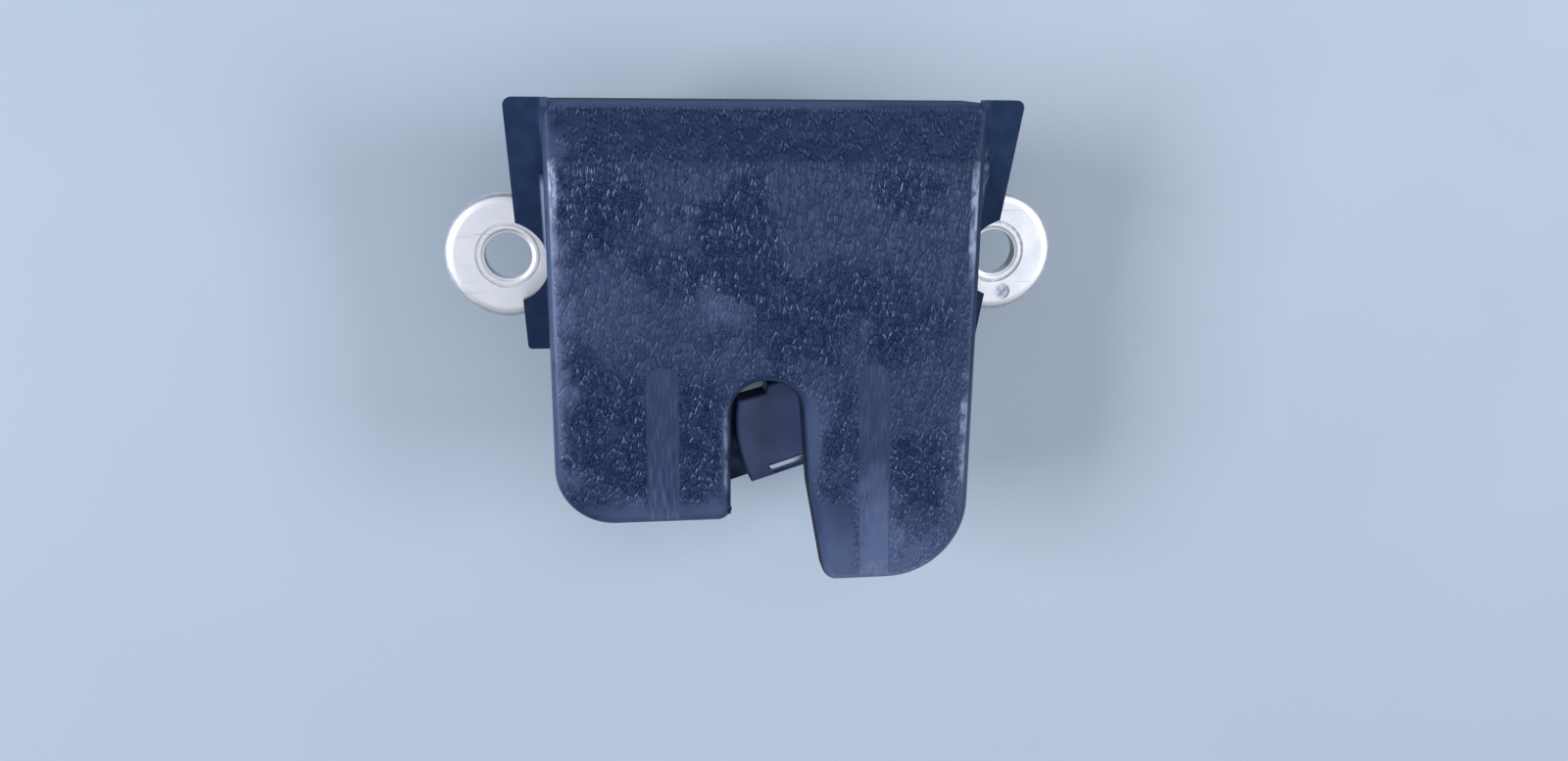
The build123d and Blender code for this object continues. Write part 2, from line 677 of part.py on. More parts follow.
def make_retainer_plate():
    """The thin steel plate that holds the catch and the pawl down on the base plate."""
    corners = []
    for at, places in ((PAWL_PIVOT, RETAINER_BY_PAWL), (CATCH_PIVOT, RETAINER_BY_CATCH),
                       (SPACER_AT, RETAINER_BY_SPACER)):
        corners += [(at[0] + dx, at[1] + dy, r) for dx, dy, r in places]
    plan = rounded(corners)
    slot = offset(cover_outline_slot(), RETAINER_SLOT_EASE, kind=Kind.ARC)
    plan -= slot
    left_x, low_y = PAWL_PIVOT[0] + RETAINER_BY_PAWL[-1][0], PAWL_PIVOT[1] + RETAINER_BY_PAWL[-2][1]
    plan -= make_face(Polyline(
        (left_x - 0.1, low_y - 1), (left_x + RETAINER_LEFT_CUT, low_y - 1),
        (left_x + RETAINER_LEFT_CUT, RIGHT_LOBE_Y), (left_x - 0.1, RIGHT_LOBE_Y), close=True))
    plate = prism(plan, RETAINER_Z, RETAINER_TOP_Z)
    for at in (CATCH_PIVOT, PAWL_PIVOT, SPACER_AT):
        plate -= cylinder(at, TENON_R_AT[at] + FIT, RETAINER_Z - 1, RETAINER_TOP_Z + 1)
    return plate


def cover_outline_slot():
    """The open slot of the cover as a face that runs past the lobes."""
    drop = (SLOT_MOUTH_X - SLOT_BEND[0]) / (SLOT_BEND[1] - RIGHT_LOBE_Y)
    end_y = RIGHT_LOBE_Y - 6
    return rounded([
        (-SLOT_HALF_W, end_y, 0),
        (-SLOT_HALF_W, SLOT_ARCH_Y, SLOT_ARCH_R),
        (SLOT_HALF_W - SLOT_RIGHT_IN, SLOT_ARCH_Y, SLOT_ARCH_R),
        (*SLOT_BEND, SLOT_BEND_R),
        (SLOT_BEND[0] + drop * (SLOT_BEND[1] - end_y), end_y, 0),
    ])


def make_striker_buffer():
    """The rubber arch clipped on the end of the base plate's slot."""
    outer = PLATE_SLOT_HALF_W - FIT
    centre = (0, PLATE_SLOT_TOP_Y - PLATE_SLOT_HALF_W)
    crown = PLATE_SLOT_TOP_Y - BUFFER_T
    room = Pos(0, crown - BUFFER_ROOM_R) * Circle(BUFFER_ROOM_R)
    keep = prism(make_face(Polyline(
        (-2 * outer, centre[1] + 1.5), (-2 * outer, PLATE_SLOT_TOP_Y + 5), (2 * outer, PLATE_SLOT_TOP_Y + 5),
        (2 * outer, centre[1] + 1.5), close=True)), PLATE_BACK_Z - 2, 2)
    arch = prism(Pos(*centre) * Circle(outer) - room, PLATE_BACK_Z - BUFFER_LIP_T, BUFFER_LIP_T)
    lip = Pos(*centre) * Circle(outer + BUFFER_LIP) - room
    for z_low, z_high in ((0, BUFFER_LIP_T), (PLATE_BACK_Z - BUFFER_LIP_T, PLATE_BACK_Z)):
        arch += prism(lip, z_low, z_high)
    return arch & keep


# Pawl

def make_pawl_lever():
    """The steel pawl, shown lifted: a strut under the catch's tip and an arm to the release pin."""
    nose = polar(PAWL_PIVOT, PAWL_NOSE_R, PAWL_NOSE_ANGLE)
    shoulder = polar(PAWL_PIVOT, PAWL_NOSE_R, PAWL_SHOULDER_ANGLE)
    middle = polar(PAWL_PIVOT, PAWL_NOSE_R, (PAWL_NOSE_ANGLE + PAWL_SHOULDER_ANGLE) / 2)
    low = polar(PAWL_PIVOT, PAWL_HUB_R, PAWL_NOSE_ANGLE - 80)
    left = polar(PAWL_PIVOT, PAWL_HUB_R, PAWL_ARM_LEFT + 50)
    bend = polar(PAWL_PIVOT, PAWL_NOSE_R, PAWL_ARM_LEFT - 8)
    boss_left = (RELEASE_PIN_HOME[0] - RELEASE_BOSS_R, RELEASE_PIN_HOME[1] + 1.5)
    boss_low = (RELEASE_PIN_HOME[0] - 0.5, RELEASE_PIN_HOME[1] - RELEASE_BOSS_R + 0.1)
    outline = [
        Line(low, nose),
        ThreePointArc(nose, middle, shoulder),
        Line(shoulder, boss_low),
        Line(boss_low, boss_left),
        Line(boss_left, bend),
        Line(bend, left),
        Line(left, low),
    ]
    shape = make_face(outline)
    shape += Pos(*PAWL_PIVOT) * Circle(PAWL_HUB_R)
    shape += Pos(*RELEASE_PIN_HOME) * Circle(RELEASE_BOSS_R)
    lifted = Pos(*PAWL_PIVOT) * Rot(0, 0, PAWL_LIFT) * Pos(-PAWL_PIVOT[0], -PAWL_PIVOT[1]) * shape
    lifted -= Pos(*CATCH_PIVOT) * Circle(CORE_TIP_R + PAWL_SWEEP_EASE)
    return lifted


def make_pawl():
    """The pawl lever, its plastic pad and its release pin, all in the lifted position."""
    shape = make_pawl_lever()
    pin_at = turned(RELEASE_PIN_HOME, PAWL_PIVOT, PAWL_LIFT)
    lever = prism(shape, CORE_Z, CORE_TOP_Z)
    lever -= cylinder(PAWL_PIVOT, PAWL_PIVOT_R + RUN, 0, CORE_TOP_Z + 1)
    lever -= cylinder(pin_at, RELEASE_TENON_R + FIT, 0, CORE_TOP_Z + 1)
    pad = prism(offset(shape, -PAWL_PAD_INSET), CORE_TOP_Z, CORE_TOP_Z + PAWL_PAD_T)
    pad -= cylinder(PAWL_PIVOT, PAWL_COIL_R + WIRE_R + EASE, 0, JACKET_TOP_Z)
    pad -= cylinder(pin_at, RELEASE_PIN_R, 0, JACKET_TOP_Z)
    pin = cylinder(pin_at, RELEASE_PIN_R, PIN_END_Z, CORE_Z)
    pin += cylinder(pin_at, RELEASE_TENON_R, CORE_Z, CORE_TOP_Z)
    pin += cylinder(pin_at, RELEASE_PIN_R - FIT, CORE_TOP_Z, CORE_TOP_Z + RELEASE_HEAD_T)
    return lever, pad, pin


# Springs

def torsion_spring(centre, coil_r, z_low, start_angle, total_turn, leg_in, leg_out):
    """A coil about a pivot with a straight leg on each end, tangent to the coil."""
    height = COIL_PITCH * total_turn / 360
    coil = Pos(centre[0], centre[1], z_low) * Rot(0, 0, start_angle) * Helix(COIL_PITCH, height, coil_r)
    start, end = coil.position_at(0), coil.position_at(1)
    lead_in = Line(start - coil.tangent_at(0) * leg_in, start)
    lead_out = Line(end, end + coil.tangent_at(1) * leg_out)
    path = Wire([lead_in.edge(), coil.edge(), lead_out.edge()])
    tip = Plane(origin=lead_in.position_at(0), z_dir=lead_in.tangent_at(0))
    return sweep(tip * Circle(WIRE_R), path=path, is_frenet=True)


def make_catch_spring():
    """The spring that throws the catch open: one leg on the spacer rivet, one on the jacket."""
    reach = (SPACER_AT[0] - CATCH_PIVOT[0], SPACER_AT[1] - CATCH_PIVOT[1])
    distance = hypot(*reach)
    inner = CATCH_COIL_R - SPACER_R - WIRE_R - GAP
    normal = degrees(atan2(reach[1], reach[0])) + degrees(acos(inner / distance))
    leg = sqrt(distance ** 2 - inner ** 2) + CATCH_LEG_PAST
    turn = (CATCH_OPEN - normal) % 360 + 360 * (COIL_TURNS - 1)
    z_low = CORE_TOP_Z + JACKET_HUB_T + WIRE_R + 0.1
    return torsion_spring(CATCH_PIVOT, CATCH_COIL_R, z_low, normal, turn, leg, CATCH_LEG_OUT)


def make_pawl_spring():
    """The spring that presses the pawl home: one leg on the housing side, one along the arm."""
    z_low = CORE_TOP_Z + WIRE_R + PAWL_COIL_LIFT
    turn = 360 * COIL_TURNS + PAWL_COIL_EXTRA
    return torsion_spring(PAWL_PIVOT, PAWL_COIL_R, z_low, PAWL_COIL_START, turn, PAWL_LEG_IN, PAWL_LEG_OUT)


# Rear housing

def housing_outline(inset):
    """The housing seen from behind, notched at the striker slot."""
    half, top, end = HOUSING_HALF_W - inset, HOUSING_TOP_Y - inset, HOUSING_END_Y + inset
    notch, notch_top = NOTCH_HALF_W + inset, NOTCH_TOP_Y + inset
    r = max(HOUSING_CORNER_R - inset, 0.8)
    return rounded([
        (-half, top, r),
        (-half, end, r),
        (-notch, end, NOTCH_R),
        (-notch, notch_top, NOTCH_R),
        (notch, notch_top, NOTCH_R),
        (notch, end, NOTCH_R),
        (half, end, r),
        (half, top, r),
    ])


def make_actuator_housing():
    """The plastic tub on the back of the plate, with the connector shell."""
    body = prism(housing_outline(0), RIM_Z, PLATE_BACK_Z)
    body -= prism(housing_outline(HOUSING_WALL), RIM_Z - 1, HOUSING_FRONT_Z)
    for at in LID_POSTS:
        body += cylinder(at, POST_R, RIM_Z, HOUSING_FRONT_Z + POST_ROOT)
        body -= cylinder(at, SCREW_R + RUN, RIM_Z - 1, RIM_Z + LID_SCREW_L)
    for at in HOUSING_SCREWS_AT:
        body += cylinder(at, POST_R, HOUSING_FRONT_Z - HOUSING_POST_T, HOUSING_FRONT_Z + POST_ROOT)
        body -= cylinder(at, SCREW_R + RUN, -HOUSING_SCREW_L - POST_ROOT, 0)
    body += cylinder(WHEEL_AT, WHEEL_HUB_R, HOUSING_FRONT_Z - HUB_BOSS_T, HOUSING_FRONT_Z + POST_ROOT)
    body -= cylinder(WHEEL_AT, AXLE_R + FIT, RIM_Z, PLATE_BACK_Z - AXLE_END + 0.1)
    body += block((BEARING_X, BEARING_X + BEARING_T), (WORM_Y - BEARING_HALF_W, WORM_Y + BEARING_HALF_W),
                  (GEAR_MID_Z - BEARING_HALF_W, HOUSING_FRONT_Z + POST_ROOT))
    body -= along_x(SHAFT_R + RUN, BEARING_X - 1, BEARING_X + BEARING_T + 1)
    for x in CRADLE_XS:
        body += block((x - CRADLE_T / 2, x + CRADLE_T / 2), (WORM_Y - CRADLE_HALF_W, WORM_Y + CRADLE_HALF_W),
                      (GEAR_MID_Z + MOTOR_HALF_FLAT, HOUSING_FRONT_Z + POST_ROOT))
    body -= prism(release_window(RELEASE_WINDOW_EASE), HOUSING_FRONT_Z - 1, PLATE_BACK_Z + 1)
    shell_low, shell_high = SOCKET_Z - SOCKET_H / 2, SOCKET_Z + SOCKET_H / 2
    x_low, x_high = SOCKET_X - SOCKET_W / 2, SOCKET_X + SOCKET_W / 2
    mouth_y = HOUSING_END_Y - SOCKET_L
    shell = block((x_low, x_high), (mouth_y, HOUSING_END_Y + POST_ROOT), (shell_low, shell_high))
    shell = fillet([e for e in shell.edges() if abs(e.tangent_at(0.5).Y) > 0.99], SOCKET_EDGE_R)
    shell -= block((x_low + SOCKET_WALL, x_high - SOCKET_WALL), (mouth_y - 1, HOUSING_END_Y),
                   (shell_low + SOCKET_WALL, shell_high - SOCKET_WALL))
    body += shell
    for x in pin_places():
        body -= pin_body(x, FIT)
    catch_w, catch_l, catch_t = SOCKET_CATCH
    catch_y = mouth_y + SOCKET_CATCH_IN
    return body + block((SOCKET_X - catch_w / 2, SOCKET_X + catch_w / 2), (catch_y, catch_y + catch_l),
                        (shell_high, shell_high + catch_t))


def pin_places():
    """The X of each connector pin."""
    first = SOCKET_X - PIN_PITCH * (PIN_COUNT - 1) / 2
    return [first + PIN_PITCH * i for i in range(PIN_COUNT)]


def pin_body(x, ease):
    """One flat contact pin through the housing's wall."""
    return block((x - PIN_W / 2 - ease, x + PIN_W / 2 + ease),
                 (HOUSING_END_Y - PIN_REACH, HOUSING_END_Y + HOUSING_WALL + PIN_TAIL),
                 (SOCKET_Z - PIN_T / 2 - ease, SOCKET_Z + PIN_T / 2 + ease))


def make_contact_pins():
    """The row of contact pins in the connector."""
    return Compound([pin_body(x, 0) for x in pin_places()])


def make_housing_seal():
    """The flat rubber seal between the housing and its lid."""
    ring = housing_outline(SEAL_INSET) - housing_outline(HOUSING_WALL - SEAL_INSET)
    return prism(ring, LID_Z, RIM_Z)


def lid_raise():
    """The raised field of the lid, over the motor and the wheel."""
    left_x = MOTOR_BACK_X - MOTOR_CAP_L
    right_x = BEARING_X + BEARING_T
    field = rounded([
        (left_x, WORM_Y + MOTOR_R, LID_RAISE_R),
        (left_x, WORM_Y - MOTOR_R, LID_RAISE_R),
        (right_x, WORM_Y - MOTOR_R, LID_RAISE_R),
        (right_x, WORM_Y + BEARING_HALF_W, LID_RAISE_R),
        (MOTOR_FRONT_X, WORM_Y + BEARING_HALF_W, LID_RAISE_R),
        (MOTOR_FRONT_X, WORM_Y + MOTOR_R, LID_RAISE_R),
    ])
    field += Pos(*WHEEL_AT) * Circle(WHEEL_R + LID_RAISE_ROOM)
    pad_x, pad_y = LID_PAD
    field += rounded([(x, y, LID_RAISE_R) for x, y in (
        (pad_x[0], pad_y[0]), (pad_x[1], pad_y[0]), (pad_x[1], pad_y[1]), (pad_x[0], pad_y[1]))])
    raised = prism(field, BACK_Z, BACK_Z + LID_RAISE)
    return chamfer(edges_at(raised, BACK_Z - 0.01, BACK_Z + 0.01, lambda c: True), LID_RAISE_EDGE)


def make_housing_lid():
    """The lid on the back, with a raised field, sunk screw heads and the motor's cradle."""
    flat_z = BACK_Z + LID_RAISE
    lid = prism(housing_outline(0), flat_z, LID_Z)
    lid = chamfer(edges_at(lid, flat_z - 0.01, flat_z + 0.01, lambda c: True), LID_EDGE)
    lid += lid_raise()
    for at in LID_POSTS:
        lid += cylinder(at, POST_R - 0.5, LID_Z, RIM_Z)
        lid -= cylinder(at, SCREW_R + GAP, BACK_Z - 1, RIM_Z + 1)
        lid -= cylinder(at, SCREW_HEAD_R + GAP, BACK_Z - 1, flat_z + SCREW_HEAD_T + 0.1)
    lid += cylinder(WHEEL_AT, WHEEL_HUB_R, LID_Z, LID_Z + LID_BOSS_T)
    lid -= cylinder(WHEEL_AT, AXLE_R + FIT, LID_Z - 1, LID_Z + LID_BOSS_T + 1)
    for x in CRADLE_XS:
        lid += block((x - CRADLE_T / 2, x + CRADLE_T / 2), (WORM_Y - CRADLE_HALF_W, WORM_Y + CRADLE_HALF_W),
                     (LID_Z, GEAR_MID_Z - MOTOR_HALF_FLAT))
    return lid


def screw(at, z_head, z_tip, down):
    """A pan-head screw along Z, with a cross recess; down is True when its tip points to -Z."""
    sign = -1 if down else 1
    head_low, head_high = sorted((z_head, z_head - sign * SCREW_HEAD_T))
    body = cylinder(at, SCREW_HEAD_R, head_low, head_high)
    outer = z_head - sign * SCREW_HEAD_T
    body = fillet(edges_at(body, outer - 0.01, outer + 0.01, lambda c: True), SCREW_EDGE_R)
    shank_low, shank_high = sorted((z_head, z_tip))
    body += cylinder(at, SCREW_R, shank_low, shank_high)
    for angle in (0, 90):
        body -= Pos(at[0], at[1], outer) * Rot(0, 0, angle) * Box(RECESS_L, RECESS_W, 2 * RECESS_DEPTH)
    return body


# Worm wheel and motor

def cam_flank():
    """The cam's working flank, as radius and angle from the low end to the high end."""
    flank = []
    for i in range(CAM_STEPS + 1):
        lift = i / CAM_STEPS
        pin = turned(RELEASE_PIN_HOME, PAWL_PIVOT, PAWL_LIFT * lift)
        dx, dy = pin[0] - WHEEL_AT[0], pin[1] - WHEEL_AT[1]
        angle = degrees(atan2(dy, dx)) % 360 + WHEEL_TRAVEL * (1 - lift)
        flank.append((hypot(dx, dy) - RELEASE_PIN_R - CAM_GAP, angle))
    return flank


def cam_return():
    """The cam's falling side, as its low and high radius and the angles where it starts and stops."""
    flank = cam_flank()
    (low_r, low_angle), (high_r, high_angle) = flank[0], flank[-1]
    return low_r, high_r, low_angle + CAM_DWELL, high_angle + 360 - CAM_DWELL


def cam_outline():
    """The cam as a closed outline: the working flank follows the release pin, the rest returns."""
    low_r, high_r, start, stop = cam_return()
    shares = [i / CAM_STEPS for i in range(1, CAM_STEPS)]
    falling = [(low_r + (high_r - low_r) * share, start + (stop - start) * share) for share in shares]
    quarter = CAM_DWELL / 4
    rest_low = [(low_r, start - CAM_DWELL + quarter * i) for i in range(1, 5)]
    rest_high = [(high_r, stop + quarter * i) for i in range(4)]
    loop = cam_flank()[::-1] + rest_low + falling + rest_high
    return [polar(WHEEL_AT, r, a) for r, a in loop]


def cam_radius_right():
    """The cam's radius toward +X at rest."""
    low_r, high_r, start, stop = cam_return()
    return low_r + (high_r - low_r) * (360 - start) / (stop - start)


def make_worm_wheel():
    """The toothed wheel with its hub and cam."""
    root_r = WHEEL_R - DEDENDUM
    z_low, z_high = GEAR_MID_Z - WHEEL_FACE_W / 2, GEAR_MID_Z + WHEEL_FACE_W / 2
    wheel = cylinder(WHEEL_AT, root_r, z_low, z_high)
    wheel -= cylinder(WHEEL_AT, root_r - RIM_T, z_low - 1, GEAR_MID_Z - WHEEL_WEB_T / 2)
    wheel -= cylinder(WHEEL_AT, root_r - RIM_T, GEAR_MID_Z + WHEEL_WEB_T / 2, z_high + 1)
    hub_low, hub_high = LID_Z + LID_BOSS_T + HUB_PLAY, HOUSING_FRONT_Z - HUB_BOSS_T - HUB_PLAY
    wheel += cylinder(WHEEL_AT, WHEEL_HUB_R, hub_low, hub_high)
    cam = make_face(Polyline(*cam_outline(), close=True))
    wheel += prism(cam, CAM_LOW_Z, CAM_LOW_Z + CAM_T)
    wheel += cylinder(WHEEL_AT, WHEEL_HUB_R + RIM_T, GEAR_MID_Z, CAM_LOW_Z)
    lead_angle = degrees(atan2(WORM_LEAD, 2 * pi * WORM_R))
    half_root, half_tip = TOOTH_ROOT_HALF * MODULE, TOOTH_TIP_HALF * MODULE
    tooth_shape = make_face(Polyline(
        (root_r - 0.4, -half_root), (WHEEL_R + ADDENDUM, -half_tip), (WHEEL_R + ADDENDUM, half_tip),
        (root_r - 0.4, half_root), close=True))
    tooth = Pos(0, 0, -WHEEL_FACE_W / 2) * extrude(tooth_shape, WHEEL_FACE_W, dir=(0, 0, 1))
    tooth = Rot(-lead_angle, 0, 0) * tooth
    teeth = [Pos(*WHEEL_AT, GEAR_MID_Z) * Rot(0, 0, 90 + 360 / WHEEL_TEETH * i) * tooth
             for i in range(WHEEL_TEETH)]
    wheel = wheel.fuse(*teeth)
    return wheel - cylinder(WHEEL_AT, AXLE_R + RUN, LID_Z, HOUSING_FRONT_Z)


def make_worm():
    """The single-start worm on the motor shaft."""
    core_r = WORM_R - DEDENDUM
    tip_r = WORM_R + ADDENDUM * 0.9
    half_root, half_tip = THREAD_ROOT_HALF * MODULE, THREAD_TIP_HALF * MODULE
    root_in = core_r - THREAD_SINK - WORM_R
    core = Cylinder(core_r, WORM_L)
    ridge = Pos(0, 0, -THREAD_L / 2) * Helix(WORM_LEAD, THREAD_L, WORM_R)
    at = ridge.position_at(0)
    section_plane = Plane(origin=at, x_dir=(1, 0, 0), z_dir=ridge.tangent_at(0))
    section = section_plane * make_face(Polyline(
        (root_in, -half_root), (tip_r - WORM_R, -half_tip), (tip_r - WORM_R, half_tip), (root_in, half_root),
        close=True))
    thread = sweep(section, path=Wire([ridge.edge()]), is_frenet=True)
    worm = core + thread
    worm -= Cylinder(SHAFT_R + FIT, WORM_L + 2)
    return Pos(WHEEL_AT[0], WORM_Y, GEAR_MID_Z) * Rot(0, 90, 0) * Rot(0, 0, WORM_PHASE) * worm


def along_x(radius, x_low, x_high):
    """A round bar on the motor's axis."""
    return Pos(x_low, WORM_Y, GEAR_MID_Z) * Rot(0, 90, 0) * Cylinder(
        radius, x_high - x_low, align=(Align.CENTER, Align.CENTER, Align.MIN))


def between_flats(x_low, x_high, inset):
    """The room between the motor can's two flats, drawn in by inset."""
    half = MOTOR_HALF_FLAT - inset
    return block((x_low, x_high), (WORM_Y - MOTOR_R, WORM_Y + MOTOR_R), (GEAR_MID_Z - half, GEAR_MID_Z + half))


def make_motor():
    """The motor's can, its plastic end cap, its shaft and its rotor."""
    front, back = MOTOR_FRONT_X, MOTOR_BACK_X
    can = along_x(MOTOR_R, back, front) & between_flats(back, front, 0)
    can -= (along_x(MOTOR_R - MOTOR_WALL, back - 1, front - MOTOR_WALL)
            & between_flats(back - 1, front - MOTOR_WALL, MOTOR_WALL))
    can += along_x(MOTOR_NOSE_R, front - MOTOR_WALL, front + MOTOR_NOSE_L)
    can -= along_x(SHAFT_R + RUN, front - MOTOR_WALL - 1, front + MOTOR_NOSE_L + 1)
    cap = along_x(MOTOR_R, back - MOTOR_CAP_L, back) & between_flats(back - MOTOR_CAP_L, back, 0)
    cap += along_x(MOTOR_NOSE_R, back, back + MOTOR_CAP_L)
    cap -= along_x(SHAFT_R + RUN, back - AXLE_END - 0.1, back + MOTOR_CAP_L + 1)
    shaft = along_x(SHAFT_R, back - AXLE_END, BEARING_X + BEARING_T)
    rotor = along_x(ROTOR_R, back + ROTOR_GAP, front - ROTOR_GAP) - along_x(SHAFT_R + FIT, back, front)
    return can, cap, shaft, rotor


def make_wheel_axle():
    """The steel pin that the worm wheel turns on."""
    return cylinder(WHEEL_AT, AXLE_R, LID_Z - AXLE_END, PLATE_BACK_Z - AXLE_END)


def make_switch():
    """The position switch and its plunger, which rides on the cam."""
    y_mid = WHEEL_AT[1]
    back_z = HOUSING_FRONT_Z - SWITCH_T
    body = block((SWITCH_X, SWITCH_X + SWITCH_L), (y_mid - SWITCH_W / 2, y_mid + SWITCH_W / 2),
                 (back_z, HOUSING_FRONT_Z))
    long_edges = [e for e in body.edges() if abs(e.tangent_at(0.5).X) > 0.99 and e.center().Z < back_z + 0.01]
    body = chamfer(long_edges, SWITCH_EDGE)
    at_switch = Pos(SWITCH_X - 1, y_mid, PLUNGER_Z) * Rot(0, 90, 0)
    bore_l = PLUNGER_L + PLUNGER_STROKE
    body -= at_switch * Cylinder(PLUNGER_R + RUN, bore_l, align=(Align.CENTER, Align.CENTER, Align.MIN))
    tip_x = WHEEL_AT[0] + cam_radius_right() + CAM_GAP + RUN
    at_cam = Pos(tip_x, y_mid, PLUNGER_Z) * Rot(0, 90, 0)
    plunger = at_cam * Cylinder(PLUNGER_R, PLUNGER_L, align=(Align.CENTER, Align.CENTER, Align.MIN))
    tip = [e for e in plunger.edges() if e.center().X < tip_x + 0.01 and e.geom_type == GeomType.CIRCLE]
    return body, fillet(tip, PLUNGER_TIP_R)


def write(name, part):
    """Writes one node's solids to its file."""
    export_step(part, f"parts/{name}.step")


def main():
    """Builds every piece and writes it."""
    os.makedirs("parts", exist_ok=True)
    write("front_cover", make_front_cover())
    write("base_plate", make_base_plate())
    write("retainer_plate", make_retainer_plate())
    write("striker_buffer", make_striker_buffer())
    write("catch_core", make_catch_core())
    write("catch_jacket", make_catch_jacket())
    write("catch_pivot_rivet", rivet(CATCH_PIVOT, PIVOT_R, TENON_R))
    write("pawl_pivot_rivet", rivet(PAWL_PIVOT, PAWL_PIVOT_R, TENON_R_AT[PAWL_PIVOT]))
    write("spacer_rivet", rivet(SPACER_AT, SPACER_R, TENON_R_AT[SPACER_AT], False))
    write("catch_spring", make_catch_spring())
    write("pawl_spring", make_pawl_spring())
    lever, pad, pin = make_pawl()
    write("pawl_lever", lever)
    write("pawl_pad", pad)
    write("release_pin", pin)
    write("actuator_housing", make_actuator_housing())
    write("contact_pins", make_contact_pins())
    write("housing_seal", make_housing_seal())
    write("housing_lid", make_housing_lid())
    head_seat = BACK_Z + LID_RAISE + SCREW_HEAD_T
    write("lid_screws", Compound([screw(at, head_seat, RIM_Z + LID_SCREW_L - 1, False) for at in LID_POSTS]))
    write("housing_screws", Compound([screw(at, 0, -HOUSING_SCREW_L, True) for at in HOUSING_SCREWS_AT]))
    write("cover_screws", Compound([screw(at, PLATE_BACK_Z, COVER_SCREW_L - 1, False) for at in COVER_POSTS]))
    write("worm_wheel", make_worm_wheel())
    write("wheel_axle", make_wheel_axle())
    write("worm", make_worm())
    can, cap, shaft, rotor = make_motor()
    write("motor_can", can)
    write("motor_end_cap", cap)
    write("motor_shaft", shaft)
    write("motor_rotor", rotor)
    switch, plunger = make_switch()
    write("switch_body", switch)
    write("switch_plunger", plunger)


if __name__ == "__main__":
    main()
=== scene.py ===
"""Looks of a tailgate lock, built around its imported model.

The lock lies on its back on a pale table, seen from where the photograph was taken. Lengths are in metres,
and a name that ends in mm is in millimetres.
"""
import logging
from collections.abc import Sequence
from dataclasses import dataclass, field
from enum import Enum
from functools import reduce
from math import pi, radians
from operator import mul, or_

import bmesh
import bpy
from mathutils import Matrix, Vector, noise


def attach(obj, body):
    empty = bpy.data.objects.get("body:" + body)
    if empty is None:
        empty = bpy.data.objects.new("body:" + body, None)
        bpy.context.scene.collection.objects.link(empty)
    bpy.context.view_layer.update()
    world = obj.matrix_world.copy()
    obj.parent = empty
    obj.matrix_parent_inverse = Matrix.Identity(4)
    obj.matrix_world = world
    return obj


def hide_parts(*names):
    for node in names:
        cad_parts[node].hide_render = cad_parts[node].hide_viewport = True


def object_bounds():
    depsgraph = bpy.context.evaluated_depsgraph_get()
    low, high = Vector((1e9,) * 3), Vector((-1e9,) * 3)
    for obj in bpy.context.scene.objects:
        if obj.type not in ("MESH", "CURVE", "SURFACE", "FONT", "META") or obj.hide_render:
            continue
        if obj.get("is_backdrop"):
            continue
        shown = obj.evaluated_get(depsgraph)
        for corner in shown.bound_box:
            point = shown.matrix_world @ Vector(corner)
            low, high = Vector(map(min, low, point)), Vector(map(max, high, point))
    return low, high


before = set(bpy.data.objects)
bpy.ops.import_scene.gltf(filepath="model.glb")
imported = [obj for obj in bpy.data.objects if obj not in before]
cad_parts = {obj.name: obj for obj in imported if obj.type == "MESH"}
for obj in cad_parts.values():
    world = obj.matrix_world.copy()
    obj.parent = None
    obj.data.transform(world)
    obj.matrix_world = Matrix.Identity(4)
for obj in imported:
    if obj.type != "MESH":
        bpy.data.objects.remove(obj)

MM = 0.001
LOG = logging.getLogger("tailgate_lock")
Point = tuple[float, float, float]
Spot = tuple[float, float, float, float, float]
Span = tuple[float | None, float | None, float | None, float | None]
Tree = bpy.types.NodeTree
Node = bpy.types.Node
Socket = bpy.types.NodeSocket


def linear(code: str) -> tuple[float, float, float, float]:
    """Turns an sRGB hex colour into linear RGBA.

    Args:
        code: Six hex digits, with or without a leading hash.

    Returns:
        Red, green, blue and an alpha of 1.
    """
    digits = code.lstrip("#")
    channels = [int(digits[i:i + 2], 16) / 255 for i in (0, 2, 4)]
    values = [c / 12.92 if c <= 0.04045 else ((c + 0.055) / 1.055) ** 2.4 for c in channels]
    return values[0], values[1], values[2], 1.0


def add(tree: Tree, kind: str, inputs: dict | None = None, **settings) -> Node:
    """Adds a node, sets its properties, and sets or links its inputs.

    Args:
        tree: The tree that gets the node.
        kind: The node's type, such as "ShaderNodeMath".
        inputs: Socket name or index, to a value, a signal or a socket. A tuple that holds signals is joined
            into a vector, and each item of a list is linked.
        settings: The node's own properties.

    Returns:
        The new node.
    """
    node = tree.nodes.new(kind)
    for name, value in settings.items():
        setattr(node, name, value)
    for key, value in (inputs or {}).items():
        if isinstance(value, tuple) and any(isinstance(part, Signal) for part in value):
            value = add(tree, "ShaderNodeCombineXYZ", dict(enumerate(value))).outputs[0]
        for item in value if isinstance(value, list) else [value]:
            source = item.source if isinstance(item, Signal) else item
            if isinstance(source, Socket):
                tree.links.new(source, node.inputs[key])
            else:
                node.inputs[key].default_value = source
    return node


